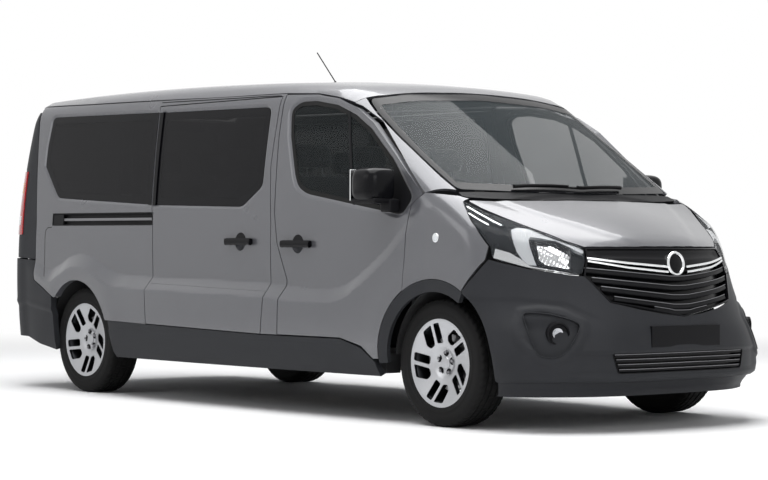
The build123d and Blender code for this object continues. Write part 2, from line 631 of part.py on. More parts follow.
# ---------------------------------------------------------------- rear doors, corners, tail lamps, rear bumper
REAR_DOOR = [
    (6, 604), (800, 604), (815, 900), (812, 1100), (800, 1400), (770, 1650), (728, 1852), (6, 1852),
]
REAR_GLASS = [(95, 1170), (730, 1170), (718, 1450), (690, 1720), (660, 1765), (95, 1770)]
TAIL_LAMP = [(832, 1018), (1050, 1018), (1050, 1450), (812, 1450), (826, 1250)]
with BuildPart() as rear_glass_left:
    add(front_block(REAR_GLASS, 2300, 2800))
    add(tail_outer, mode=Mode.INTERSECT)
    with Locations((0, -GLASS, 0)):
        add(tail_outer, mode=Mode.SUBTRACT)
save(rear_glass_left.part, "rear_door_glass_left")
with BuildPart() as rear_glass_right:
    mirror(rear_glass_left.part, about=Plane.YZ)
save(rear_glass_right.part, "rear_door_glass_right")
with BuildPart() as rear_door_left:
    add(front_block(REAR_DOOR, 2300, 2800))
    add(front_block(REAR_GLASS, 2300, 2800, grow=-26), mode=Mode.SUBTRACT)
    add(tail_outer, mode=Mode.INTERSECT)
    add(tail_inner, mode=Mode.SUBTRACT)
    add(rear_glass_left.part, mode=Mode.SUBTRACT)
with BuildPart() as rear_door_right:
    mirror(rear_door_left.part, about=Plane.YZ)
with BuildPart() as rear_door_with_plate:
    add(rear_door_left.part)
    add(box_between((60, 580), (2630, 2657), (640, 751)))
save(rear_door_with_plate.part, "rear_door_left")
save(rear_door_right.part, "rear_door_right")

with BuildPart() as tail_lamp_left:
    add(front_block(TAIL_LAMP, 2312, 2800))
    add(side_block(CORNER_PANEL, 500), mode=Mode.INTERSECT)
    add(tail_outer, mode=Mode.INTERSECT)
    add(tail_inner, mode=Mode.SUBTRACT)
save(both_sides(tail_lamp_left.part), "tail_lamps")
with BuildPart() as corner_left:
    add(side_block(CORNER_PANEL, 500))
    add(front_block(REAR_DOOR, 2200, 2800, grow=SHUT_GAP), mode=Mode.SUBTRACT)
    add(front_block(TAIL_LAMP, 2312, 2800), mode=Mode.SUBTRACT)
    add(tail_outer, mode=Mode.INTERSECT)
    add(tail_inner, mode=Mode.SUBTRACT)
save(both_sides(corner_left.part), "rear_corners")

REAR_BUMPER_SIDE = [
    (2800, 870), (2308, 851), (2294, 851), (2292, 749), (2283, 718), (2128, 655), (1990, 600), (1990, 300),
    (2040, 262), (2800, 262),
]
REAR_BUMPER_BACK = [
    (-1100, 872), (-838, 872), (-829, 700), (-806, 592), (806, 592), (829, 700), (838, 872), (1100, 872),
    (1100, 200), (-1100, 200),
]
with BuildPart() as rear_bumper:
    add(side_block(REAR_BUMPER_SIDE, -1100, 1100))
    add(front_block(REAR_BUMPER_BACK, 1900, 2800), mode=Mode.INTERSECT)
    add(across(ARCH_R_REAR, ARCH_Y_REAR, TYRE_R, -1200, 1200), mode=Mode.SUBTRACT)
    with Locations((0, 47, 0)):
        add(tail_outer, mode=Mode.INTERSECT)
        add(tail_inner, mode=Mode.SUBTRACT)
save(rear_bumper.part, "rear_bumper")

# ---------------------------------------------------------------- sill cladding
CLADDING = [(1316, 476), (-303, 444), (-1012, 444), (-1190, 398), (-1300, 326), (-1318, 250), (1262, 250)]
with BuildPart() as cladding_left:
    add(side_block(CLADDING))
    add(side_slab((-1330, 1345), (245, 480), 40, 10, 5), mode=Mode.INTERSECT)
save(both_sides(cladding_left.part), "sill_cladding")


# ---------------------------------------------------------------- floor pan with its sills and rails
FLOOR_Z = (330, 372)
HOUSE_REAR = LIP_REAR + 12
with BuildPart() as floor_pan:
    add(box_between((-905, 905), (-1330, 2100), FLOOR_Z))
    add(box_between((-840, 840), (2090, 2440), FLOOR_Z))
    add(box_between((-500, 500), (-1560, -1330), FLOOR_Z))
    for sign in (-1, 1):
        add(across(HOUSE_REAR, ARCH_Y_REAR, TYRE_R, *sorted((sign * 628, sign * 960))), mode=Mode.SUBTRACT)
        add(box_between(sorted((sign * 780, sign * 880)), (-1290, 1240), (262, 330)))
        add(box_between(sorted((sign * 300, sign * 380)), (-1330, 2400), (262, 330)))
    add(across(46, AXLE_REAR - 60, 285, -500, 500), mode=Mode.SUBTRACT)
save(floor_pan.part, "floor_pan")

# ---------------------------------------------------------------- bulkhead and wheel houses
with BuildPart() as inner_panels:
    add(box_between((-860, 860), (-1500, -1478), (372, 1112)))
    for sign in (-1, 1):
        add(across(LIP_FRONT - 46, ARCH_Y_FRONT, TYRE_R, *sorted((sign * 505, sign * 960))), mode=Mode.SUBTRACT)
    for sign in (-1, 1):
        low, high = sorted((sign * 628, sign * 898))
        with BuildPart(mode=Mode.PRIVATE) as rear_house:
            add(across(HOUSE_REAR, ARCH_Y_REAR, TYRE_R, low, high))
            add(across(LIP_REAR, ARCH_Y_REAR, TYRE_R, *sorted((sign * 640, sign * 960))), mode=Mode.SUBTRACT)
            add(box_between((low - 50, high + 50), (1000, 2400), (330, 900)), mode=Mode.INTERSECT)
        add(rear_house.part)
        low, high = sorted((sign * 495, sign * 880))
        with BuildPart(mode=Mode.PRIVATE) as front_house:
            add(across(LIP_FRONT - 36, ARCH_Y_FRONT, TYRE_R, low, high))
            add(across(LIP_FRONT - 46, ARCH_Y_FRONT, TYRE_R, *sorted((sign * 505, sign * 960))), mode=Mode.SUBTRACT)
            add(box_between((low - 50, high + 50), (-2300, -1250), (372, 900)), mode=Mode.INTERSECT)
        add(front_house.part)
    add(box_between((-500, 500), (-1640, -1520), (372, 412)))
save(inner_panels.part, "inner_panels")

# ---------------------------------------------------------------- cab and cabin
with BuildPart() as dashboard:
    with BuildSketch(Plane.YZ.offset(-770)):
        with BuildLine():
            Polyline(
                (-1470, 820), (-1470, 1112), (-1560, 1118), (-1560, 1150), (-1250, 1150), (-1130, 1080),
                (-1110, 1000), (-1190, 880), (-1230, 800), close=True,
            )
        make_face()
    extrude(amount=1540)
    add(box_between((-140, 140), (-1300, -1150), (560, 900)))
save(dashboard.part, "dashboard")

with BuildPart() as steering_wheel:
    with BuildSketch(Plane(origin=(480, -1010, 1045), x_dir=(1, 0, 0), z_dir=(0, 0.82, 0.57))):
        Circle(190)
        Circle(162, mode=Mode.SUBTRACT)
        Circle(62)
        with PolarLocations(112, 3, start_angle=-90):
            Rectangle(110, 30)
    extrude(amount=24)
    with BuildSketch(Plane(origin=(480, -1010, 1045), x_dir=(1, 0, 0), z_dir=(0, -0.82, -0.57))):
        Circle(36)
    extrude(amount=130)
    add(dashboard.part, mode=Mode.SUBTRACT)
save(steering_wheel.part, "steering_wheel")


def seat(x, y, z, width, back=640.0):
    """A seat on a box foot: cushion, leaning backrest and head restraint, facing -Y."""
    with BuildPart(mode=Mode.PRIVATE) as chair:
        with Locations((x, y, z + 70)):
            Box(width, 500, 140)
        with BuildSketch(Plane.YZ.offset(x - width / 2)):
            with BuildLine():
                Polyline(
                    (y + 180, z + 100), (y + 300, z + 100), (y + 300 + back * 0.26, z + 100 + back),
                    (y + 205 + back * 0.26, z + 100 + back), close=True,
                )
            make_face()
        extrude(amount=width)
        fillet(chair.edges().filter_by(Axis.X), 22)
        add(box_between((x - width * 0.4, x + width * 0.4), (y - 190, y + 200), (FLOOR_Z[1], z + 40)))
    return chair.part


def head_restraint(x, y, z, back=640.0):
    with BuildPart(mode=Mode.PRIVATE) as rest:
        top = z + 100 + back
        with Locations((x, y + 258 + back * 0.26, top + 110)):
            Box(250, 84, 150)
        fillet(rest.edges(), 26)
        for post in (-60, 60):
            with Locations((x + post, y + 250 + back * 0.26, top + 20)):
                Cylinder(8, 120)
    return rest.part


with BuildPart() as front_seats:
    add(seat(480, -620, 640, 500))
    add(head_restraint(480, -620, 640))
    add(seat(-330, -620, 640, 860))
    add(head_restraint(-550, -620, 640))
    add(head_restraint(-130, -620, 640))
save(front_seats.part, "front_seats")

with BuildPart() as rear_benches:
    for row_y in (260, 1130):
        add(seat(0, row_y, 640, 1180 if row_y > 1000 else 1400))
        for place in (-430, 0, 430):
            add(head_restraint(place, row_y, 640))
save(rear_benches.part, "rear_benches")

# ---------------------------------------------------------------- engine, axles, exhaust
with BuildPart() as engine:
    add(box_between((-400, 400), (-2260, -1640), (300, 860)))
save(engine.part, "engine_block")

with BuildPart() as front_subframe:
    add(box_between((-420, 420), (AXLE_FRONT - 60, AXLE_FRONT + 160), (205, 262)))
    for sign in (-1, 1):
        with BuildSketch(Plane.XY.offset(205)):
            with BuildLine():
                Polyline(
                    (sign * 400, AXLE_FRONT - 50), (sign * 400, AXLE_FRONT + 150), (sign * 500, AXLE_FRONT + 90),
                    (sign * 690, AXLE_FRONT + 26), (sign * 690, AXLE_FRONT - 26), (sign * 500, AXLE_FRONT - 40),
                    close=True,
                )
            make_face()
        extrude(amount=28)
        with Locations((sign * 615, AXLE_FRONT, 486)):
            Cylinder(30, 504)
        add(box_between(sorted((sign * 400, sign * 470)), (-2450, -1560), (290, 372)))
        add(box_between(sorted((sign * 395, sign * 419)), (AXLE_FRONT - 40, AXLE_FRONT + 120), (262, 290)))
save(front_subframe.part, "front_subframe")

with BuildPart() as rear_axle:
    add(across(38, AXLE_REAR - 60, 285, -660, 660))
    for sign in (-1, 1):
        add(box_between(sorted((sign * 645, sign * 690)), (AXLE_REAR - 560, AXLE_REAR + 60), (250, 322)))
        add(across(48, AXLE_REAR, TYRE_R, *sorted((sign * 642, sign * 716))))
        add(box_between(sorted((sign * 560, sign * 690)), (AXLE_REAR - 560, AXLE_REAR - 500), (250, 330)))
save(rear_axle.part, "rear_axle")

with BuildPart() as exhaust:
    with Locations((-180, 200, 250)):
        Box(240, 520, 110)
    fillet(exhaust.edges().filter_by(Axis.Y), 40)
    with BuildSketch(Plane(origin=(-180, -1200, 250), x_dir=(1, 0, 0), z_dir=(0, 1, 0))):
        Circle(28)
    extrude(amount=1200)
    with BuildSketch(Plane(origin=(-180, 440, 250), x_dir=(1, 0, 0), z_dir=(0, 1, 0))):
        Circle(28)
    extrude(amount=700)
    add(box_between((-200, -160), (-600, -560), (276, 330)))
    add(box_between((-200, -160), (150, 190), (290, 330)))
    add(box_between((-200, -160), (1040, 1080), (276, 330)))
save(exhaust.part, "exhaust")

# ---------------------------------------------------------------- knuckles
KNUCKLE_X = 738.0
with BuildPart() as knuckle_left:
    with Locations((KNUCKLE_X, AXLE_FRONT, 345)):
        Cylinder(26, 200)
    add(across(44, AXLE_FRONT, TYRE_R, KNUCKLE_X - 20, TRACK_FRONT / 2 - 30))
    add(box_between((KNUCKLE_X - 20, KNUCKLE_X + 20), (AXLE_FRONT, AXLE_FRONT + 120), (300, 330)))
save(knuckle_left.part, "knuckle_left")
with BuildPart() as knuckle_right:
    mirror(knuckle_left.part, about=Plane.YZ)
save(knuckle_right.part, "knuckle_right")


# ---------------------------------------------------------------- wheels
RIM_PROFILE = [(-96, 222), (-96, 230), (-90, 230), (-84, 222)]


def rim(x, y, sign, name):
    """A wheel with five pairs of spokes; the face looks outwards along sign * X."""
    with BuildPart() as wheel:
        with BuildSketch(Plane(origin=(x, y, TYRE_R), x_dir=(0, 1, 0), z_dir=(sign, 0, 0))) as face_sketch:
            Circle(RIM_R)
            Circle(RIM_R - 16, mode=Mode.SUBTRACT)
        extrude(amount=97, both=True)
        with BuildSketch(Plane(origin=(x + sign * 50, y, TYRE_R), x_dir=(0, 1, 0), z_dir=(sign, 0, 0))):
            Circle(80)
            for pair in range(5):
                for lean in (-13, 13):
                    with Locations(Rot(0, 0, 90 + 72 * pair + lean)):
                        with Locations((140, 0)):
                            Rectangle(150, 34)
        extrude(amount=30)
        with BuildSketch(Plane(origin=(x - sign * 22, y, TYRE_R), x_dir=(0, 1, 0), z_dir=(sign, 0, 0))):
            Circle(70)
        extrude(amount=76)
    save(wheel.part, name)


def tyre(x, y, name):
    """A tyre as one revolved ring: flat tread, shoulders, sidewalls, bore."""
    half = TYRE_W / 2
    with BuildPart() as ring:
        with BuildSketch(Plane(origin=(x, y, TYRE_R), x_dir=(1, 0, 0), z_dir=(0, -1, 0))):
            with BuildLine():
                Polyline(
                    (-97, RIM_R), (-half, TYRE_R - 30), (-84, TYRE_R), (84, TYRE_R), (half, TYRE_R - 30),
                    (97, RIM_R), close=True,
                )
            make_face()
        revolve(axis=Axis((x, y, TYRE_R), (1, 0, 0)))
    save(ring.part, name)


for end, station, track in (("front", AXLE_FRONT, TRACK_FRONT), ("rear", AXLE_REAR, TRACK_REAR)):
    for side, sign in (("left", 1), ("right", -1)):
        rim(sign * track / 2, station, sign, "rim_" + end + "_" + side)
        tyre(sign * track / 2, station, "tyre_" + end + "_" + side)
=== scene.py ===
# %% [markdown]
# # Passenger van: the looks
# The CAD model is loaded as a fixed frame and each visible piece is built over it.
# Lengths in the form are millimetres, as in the CAD; meshes are metres.
# Every panel is a trimmed patch of one smooth body form, so neighbouring panels line up.

import math

import bmesh
import bpy
import numpy as np
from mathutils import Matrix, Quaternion, Vector
from mathutils.geometry import delaunay_2d_cdt


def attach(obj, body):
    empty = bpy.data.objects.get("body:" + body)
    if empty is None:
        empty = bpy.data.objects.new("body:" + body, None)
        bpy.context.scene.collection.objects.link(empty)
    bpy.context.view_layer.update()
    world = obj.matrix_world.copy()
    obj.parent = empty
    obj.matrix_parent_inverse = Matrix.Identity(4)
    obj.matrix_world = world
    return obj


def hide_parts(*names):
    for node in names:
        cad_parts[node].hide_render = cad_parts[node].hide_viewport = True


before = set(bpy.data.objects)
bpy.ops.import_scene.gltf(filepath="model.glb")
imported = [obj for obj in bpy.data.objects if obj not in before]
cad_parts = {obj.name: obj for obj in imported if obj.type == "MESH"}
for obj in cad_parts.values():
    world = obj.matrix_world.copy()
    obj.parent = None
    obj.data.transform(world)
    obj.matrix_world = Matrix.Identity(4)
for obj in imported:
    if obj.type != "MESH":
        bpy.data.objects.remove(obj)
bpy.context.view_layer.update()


def tell(what):
    """Prints what a cell has made, and how many meshes there are by now."""
    print(f"{what}: {len(bpy.data.meshes)} meshes so far")


tell("CAD frame")

# %% [markdown]
# ## The body form
# A van's skin is pressed from sheets that meet edge to edge. Each could be its own hand-made surface, but neighbours
# then drift apart. So there is one signed distance for the whole body: sides, top, nose and tail joined by a rounded
# maximum, and every sheet is cut from it.


# %% The form and its distance
def curve(x, pairs):
    """Smooth curve through (x, value) pairs: cubic Hermite with finite-difference slopes."""
    px, py = np.array(pairs, float).T
    slope = np.gradient(py, px)
    x = np.clip(x, px[0], px[-1])
    i = np.clip(np.searchsorted(px, x) - 1, 0, len(px) - 2)
    h = px[i + 1] - px[i]
    t = (x - px[i]) / h
    return (
        (2 * t**3 - 3 * t**2 + 1) * py[i]
        + (t**3 - 2 * t**2 + t) * h * slope[i]
        + (3 * t**2 - 2 * t**3) * py[i + 1]
        + (t**3 - t**2) * h * slope[i + 1]
    )


def round_max(a, b, k):
    """max(a, b) + k/4 * h^2 with h = max(0, 1 - |a - b| / k)."""
    h = np.clip(1 - np.abs(a - b) / k, 0, 1)
    return np.maximum(a, b) + h * h * k / 4


TYRE_R = 340.0
AXLE_FRONT, AXLE_REAR = -1766.5, 1731.5
ARCH_Y_FRONT, ARCH_Y_REAR = AXLE_FRONT - 10, AXLE_REAR - 18
ARCH_R_FRONT, ARCH_R_REAR, LIP_WIDTH = 380.0, 388.0, 68.0
BODY_BOTTOM = 235.0
SIDE_WIDTH = [
    (200, 900), (300, 930), (430, 946), (600, 955), (760, 957), (900, 955), (1050, 949),
    (1200, 937), (1400, 914), (1600, 886), (1800, 852), (1950, 822), (2100, 786),
]
LEDGE_HEIGHT = [
    (-1640, 1170), (-1540, 1060), (-1400, 930), (-1270, 838), (-1150, 765), (-1050, 712), (-950, 686),
    (-800, 680), (-300, 700), (400, 715), (1100, 728), (1300, 742), (1450, 790), (1580, 838), (1710, 855),
    (1840, 838), (1960, 790), (2080, 752), (2250, 800), (2400, 860),
]
LEDGE_DEPTH = 23.0
LEDGE_HALF_HEIGHT = 42.0


def side_width(y, z):
    """Half width of the side: tumblehome above the waist, a ledge that sweeps up to the mirror, arch flares."""
    ledge = np.clip((curve(y, LEDGE_HEIGHT) - z) / LEDGE_HALF_HEIGHT, -1, 1)
    ledge = 0.5 + 0.5 * (ledge * 0.8 + 0.2 * (1.5 * ledge - 0.5 * ledge**3))
    fade = curve(y, [(-1700, 0), (-1600, 0.3), (-1350, 1), (2150, 1), (2300, 0.6), (2400, 0)])
    width = curve(z, SIDE_WIDTH) + LEDGE_DEPTH * ledge * fade
    for centre, radius in ((ARCH_Y_FRONT, ARCH_R_FRONT), (ARCH_Y_REAR, ARCH_R_REAR)):
        r = np.hypot(y - centre, z - TYRE_R) - radius - LIP_WIDTH
        swell = np.exp(-(np.maximum(r, 0) / 120) ** 2) * 14 + np.minimum(r, 0) * 0.10
        below = np.clip((z - BODY_BOTTOM) / 200, 0, 1)
        front = 1.0 if centre < 0 else 0.35
        width = width + swell * below * front
    return width


NOSE_Y = [
    (200, -2600), (250, -2650), (300, -2690), (360, -2696), (450, -2694), (540, -2690), (600, -2676),
    (700, -2654), (800, -2634), (900, -2612), (960, -2596), (1100, -2560), (1500, -2500),
]
NOSE_BOW = [(200, 460), (400, 485), (670, 600), (950, 590), (1500, 590)]
NOSE_POWER = [(200, 3.5), (400, 3.5), (670, 2.6), (950, 2.05), (1500, 2.0)]
BONNET_HEIGHT = [
    (-2800, 770), (-2700, 880), (-2600, 955), (-2500, 1008), (-2400, 1056), (-2300, 1100), (-2200, 1140),
    (-2100, 1176), (-2000, 1210), (-1900, 1244), (-1800, 1276), (-1500, 1360),
]
BONNET_CROWN = [(-2700, 320), (-2440, 256), (-2200, 165), (-1816, 40), (-1500, 20)]
SCREEN_BASE_Y, SCREEN_BASE_Z, SCREEN_SLOPE, SCREEN_BOW = -1950.0, 1240.0, 0.655, 200.0
ROOF_HEIGHT = [
    (-2000, 1660), (-1500, 1780), (-1200, 1838), (-1000, 1872), (-700, 1910), (-300, 1938), (300, 1958),
    (1000, 1968), (2000, 1962), (2400, 1952), (2800, 1936),
]
ROOF_CROWN = 55.0
TAIL_Y = [(200, 2645), (600, 2650), (1100, 2648), (1500, 2622), (1800, 2588), (2000, 2560)]
TAIL_BOW = 50.0


def roof_top(x, y):
    """Roof height: the curve along the van, less a crown across it."""
    return curve(y, ROOF_HEIGHT) - ROOF_CROWN * (x / 1000) ** 2


def top_height(x, y):
    """Bonnet, then windscreen, then roof."""
    bonnet = curve(y, BONNET_HEIGHT) - curve(y, BONNET_CROWN) * (x / 1000) ** 2
    run = y - SCREEN_BASE_Y - SCREEN_BOW * (x / 1000) ** 2
    screen = SCREEN_BASE_Z + SCREEN_SLOPE * run
    return -round_max(-np.maximum(bonnet, screen), -roof_top(x, y), 60.0)


def form(x, y, z, cabin_only=False):
    """Signed distance outside the body, below zero inside. cabin_only keeps the roof's height right to the nose."""
    side = np.abs(x) - side_width(y, z)
    top = (z - (roof_top(x, np.maximum(y, -700.0)) if cabin_only else top_height(x, y))) * 0.9
    reach = np.abs(x) / 1000
    nose = curve(z, NOSE_Y) + curve(z, NOSE_BOW) * reach ** curve(z, NOSE_POWER) - y
    tail = y - curve(z, TAIL_Y) + TAIL_BOW * reach**2
    body = round_max(side, top, 130.0)
    body = round_max(body, nose * 0.85, 60.0)
    return round_max(body, tail, 150.0)


def reach(origin, direction, level=0.0, far=3200.0, **kind):
    """Points where rays leave the form: origin + t * direction with form = level, t by repeated halving."""
    near_end, far_end = np.zeros(len(origin)), np.full(len(origin), far)
    for _ in range(40):
        middle = (near_end + far_end) / 2
        p = origin + direction * middle[:, None]
        outside = form(*p.T, **kind) > level
        far_end = np.where(outside, middle, far_end)
        near_end = np.where(outside, near_end, middle)
    return origin + direction * near_end[:, None]


def normals_at(p, **kind):
    """Unit gradient of the form by central differences of 2 mm."""
    g = np.stack([form(*(p + d).T, **kind) - form(*(p - d).T, **kind) for d in np.eye(3) * 2.0], 1)
    return g / np.maximum(np.linalg.norm(g, axis=1, keepdims=True), 1e-9)


print("half width at the waist:", round(float(side_width(0.0, 760.0))), "mm")


# %% [markdown]
# ## Panels
# A panel is a flat outline in the coordinates of one mapping (side, ring or top), triangulated with a regular
# inner grid, carried onto the form, and given thickness along the form's normal. Boolean cuts could trim the same
# sheets, but they leave long thin triangles that spoil the reflections.


# %% Mappings and panels
NOSE_CENTRE, CABIN, TAIL_CENTRE = -1500.0, -600.0, 1990.0  # y where rays to the nose, windscreen and tail start
ROOF_AXIS, BELOW_ROOF = 1500.0, 700.0  # z where rays to the roof start, round an axis and upright


def cast(origin, direction, sign=1, **kind):
    """Where rays leave the form, and the normals there. Each of the six coordinates is a number or one per ray."""
    rays = np.stack(np.broadcast_arrays(*origin, *direction), 1).astype(float)
    p = reach(rays[:, :3], rays[:, 3:], **kind)
    return p * (sign, 1, 1), normals_at(p, **kind) * (sign, 1, 1)


def on_side(u, v, sign=1):
    """(y, z) -> the side surface by a lateral ray, with the roof's height kept right to the nose."""
    return cast((0, u, v), (1, 0, 0), sign, cabin_only=True)


def on_wing(u, v, sign=1):
    """(y, z) -> the side surface below the bonnet, with the true top."""
    return cast((0, u, v), (1, 0, 0), sign)


def on_ring(u, v, sign=1, centre=NOSE_CENTRE):
    """(turn in degrees from -Y, z) -> where a level ray from (0, centre, z) leaves the form."""
    a = np.radians(u)
    return cast((0, centre, v), (np.sin(a), -np.cos(a), 0), sign)


def on_front(u, v, sign=1, start=CABIN, direction=-1):
    """(x, z) -> the nose or the windscreen, by a level ray along -Y."""
    return cast((u, start, v), (0, direction, 0), sign)


def on_back(u, v, sign=1):
    """(x, z) -> the tail, by a level ray along +Y."""
    return on_front(u, v, sign, TAIL_CENTRE, 1)


def on_cross(u, v, sign=1):
    """(turn in degrees from +X towards +Z, y) -> the roof, by a ray across the van from its axis."""
    a = np.radians(u)
    return cast((0, v, ROOF_AXIS), (np.cos(a), 0, np.sin(a)), sign)


def on_tail(u, v, sign=1):
    """(turn in degrees, z) round the tail's centre: 180 is straight back."""
    return on_ring(u, v, sign, TAIL_CENTRE)


def on_top(u, v, sign=1):
    """(x, y) -> the surface above, by an upright ray."""
    return cast((u, v, BELOW_ROOF), (0, 0, 1), sign)


def inside(points, outline):
    """Even-odd test of many points against one closed outline."""
    x, y = points.T
    a, b = np.array(outline, float), np.roll(np.array(outline, float), -1, 0)
    hit = np.zeros(len(points), bool)
    for (x0, y0), (x1, y1) in zip(a, b):
        crosses = (y0 > y) != (y1 > y)
        at = x0 + (y - y0) * (x1 - x0) / np.where(y1 == y0, 1e-9, y1 - y0)
        hit ^= crosses & (x < at)
    return hit


def refined(line, step, closed=True):
    """The outline, or the open line, with every side cut into lengths of at most step."""
    p = np.array(line, float)
    points = []
    for a, b in zip(p, np.roll(p, -1, 0) if closed else p[1:]):
        n = max(1, int(math.ceil(np.linalg.norm((b - a) / step))))
        points += [a + (b - a) * i / n for i in range(n)]
    return np.array(points if closed else [*points, p[-1]])


def rounded(outline, radius, only=None):
    """The outline with each corner replaced by a quadratic arc that starts radius away from it."""
    p = np.array(outline, float)
    out = []
    for i, c in enumerate(p):
        if only is not None and i not in only:
            out.append(tuple(c))
            continue
        a, b = p[i - 1], p[(i + 1) % len(p)]
        la, lb = np.linalg.norm(a - c), np.linalg.norm(b - c)
        ra, rb = min(radius, la * 0.45), min(radius, lb * 0.45)
        s, e = c + (a - c) / la * ra, c + (b - c) / lb * rb
        out += [tuple((1 - t) ** 2 * s + 2 * t * (1 - t) * c + t * t * e) for t in np.linspace(0, 1, 5)]
    return out


def grown(outline, amount):
    """The outline moved outwards by amount, each corner along its mitre."""
    p = np.array(outline, float)
    area = np.sum(p[:, 0] * np.roll(p[:, 1], -1) - np.roll(p[:, 0], -1) * p[:, 1])
    d = np.roll(p, -1, 0) - p
    n = np.stack([d[:, 1], -d[:, 0]], 1) / np.maximum(np.linalg.norm(d, axis=1, keepdims=True), 1e-9)
    n *= 1 if area > 0 else -1
    before = np.roll(n, 1, 0)
    mitre = (n + before) / np.maximum(1 + np.sum(n * before, 1, keepdims=True), 0.35)
    return [tuple(q) for q in p + mitre * amount]


def linked(name, data):
    """A new object in the scene."""
    obj = bpy.data.objects.new(name, data)
    bpy.context.scene.collection.objects.link(obj)
    return obj


def new_mesh(name, verts, faces, normals=None, material=None, smooth=True):
    """A mesh object from metre coordinates, with optional exact normals."""
    mesh = bpy.data.meshes.new(name)
    mesh.from_pydata([tuple(v) for v in verts], [], [tuple(f) for f in faces])
    mesh.update()
    mesh.polygons.foreach_set("use_smooth", [smooth] * len(mesh.polygons))
    if normals is not None:
        mesh.normals_split_custom_set_from_vertices([tuple(n) for n in normals])
    if material is not None:
        mesh.materials.append(material)
    return linked(name, mesh)


KEEP_AWAY = 0.45  # how near an inner point may come to the rim, in steps


def patch(outline, holes, step):
    """Triangles filling an outline less its holes, with inner points on a grid of the given step."""
    step = np.array(step, float) * (1, 1) if np.ndim(step) == 0 else np.array(step, float)
    loops = [refined(o, step) for o in [outline, *holes]]
    points, edges = [], []
    for loop in loops:
        base = len(points)
        points += [tuple(p) for p in loop]
        edges += [(base + i, base + (i + 1) % len(loop)) for i in range(len(loop))]
    low, high = loops[0].min(0), loops[0].max(0)
    gx, gy = np.meshgrid(np.arange(low[0], high[0], step[0]), np.arange(low[1], high[1], step[1]))
    g = np.stack([gx.ravel() + step[0] * 0.37, gy.ravel() + step[1] * 0.41], 1)
    keep = inside(g, outline)
    for hole in holes:
        keep &= ~inside(g, hole)
    g = g[keep]
    if len(g):
        rim = np.array(points) / step
        far = np.ones(len(g), bool)
        for i in range(0, len(g), 500):
            d = np.linalg.norm(g[i : i + 500, None] / step - rim[None], axis=2).min(1)
            far[i : i + 500] = d > KEEP_AWAY
        points += [tuple(p) for p in g[far]]
    even_scale = [tuple(map(float, p)) for p in np.array(points) / step]
    flat, _, tris, *_ = delaunay_2d_cdt(even_scale, edges, [], 0, 1e-6)
    flat = np.array([tuple(p) for p in flat]) * step
    tris = np.array([tuple(t) for t in tris if len(t) == 3])
    middle = flat[tris].mean(1)
    good = inside(middle, outline)
    for hole in holes:
        good &= ~inside(middle, hole)
    return flat, tris[good]


def triangle_normals(p, tris, like):
    """Vertex normals: the sum of cross products of the triangles round each vertex, on the side of like."""
    cross = np.cross(p[tris[:, 1]] - p[tris[:, 0]], p[tris[:, 2]] - p[tris[:, 0]])
    cross *= np.sign(np.sum(cross * like[tris[:, 0]], 1, keepdims=True))
    total = np.zeros_like(p)
    for corner in range(3):
        np.add.at(total, tris[:, corner], cross)
    return total / np.maximum(np.linalg.norm(total, axis=1, keepdims=True), 1e-9)


def panel(name, mapping, outline, material, holes=(), step=28.0, thick=3.0, sink=0.0, sign=1,
          shift=(0, 0, 0), lift=None):
    """A curved sheet: the outline on the form, sunk by sink, with a wall of the given thickness behind it.
    lift(u, v) raises the surface further; the normals then come from the raised triangles."""
    flat, tris = patch(outline, list(holes), step)
    p, n = mapping(flat[:, 0], flat[:, 1], sign)
    if lift is not None:
        p = p + n * lift(flat[:, 0], flat[:, 1])[:, None]
        n = triangle_normals(p, tris, n)
    outer = (p - n * sink + np.array(shift) * (sign, 1, 1)) / 1000
    inner = (p - n * (sink + thick) + np.array(shift) * (sign, 1, 1)) / 1000
    a, b, c = (outer[tris[:, k]] for k in range(3))
    t = tris if np.sum(np.cross(b - a, c - a) * n[tris[:, 0]]) > 0 else tris[:, ::-1]
    edge = {}
    for i, j, k in t:
        for e in ((i, j), (j, k), (k, i)):
            edge[e] = edge.get(e, 0) + 1
    rim = [e for e in edge if (e[1], e[0]) not in edge]
    count = len(p)
    verts = np.vstack([outer, inner, outer, inner])
    normals = np.vstack([n, -n, np.zeros_like(n), np.zeros_like(n)])
    faces = [tuple(f) for f in t] + [tuple(f[::-1] + count) for f in t]
    for i, j in rim:
        wall = np.cross(outer[j] - outer[i], n[i])
        for v in (i, j):
            normals[2 * count + v] += wall
            normals[3 * count + v] += wall
        faces.append((j + 2 * count, i + 2 * count, i + 3 * count, j + 3 * count))
    size = np.linalg.norm(normals, axis=1, keepdims=True)
    normals = np.where(size > 0, normals / np.maximum(size, 1e-12), (0, 0, 1))
    used = np.zeros(4 * count, bool)
    for f in faces:
        used[list(f)] = True
    remap = np.cumsum(used) - 1
    faces = [tuple(int(remap[i]) for i in f) for f in faces]
    return new_mesh(name, verts[used], faces, normals[used], material)


nose_tip = on_front(np.array([0.0]), np.array([450.0]), start=NOSE_CENTRE)[0][0]
print("nose at bumper height: y", round(float(nose_tip[1])), "mm")


# %% [markdown]
# ## Shader arithmetic
# A Value wraps one shader socket. Ordinary operators on it add Math nodes; Tree.node makes every other node, for the
# materials and for the world.


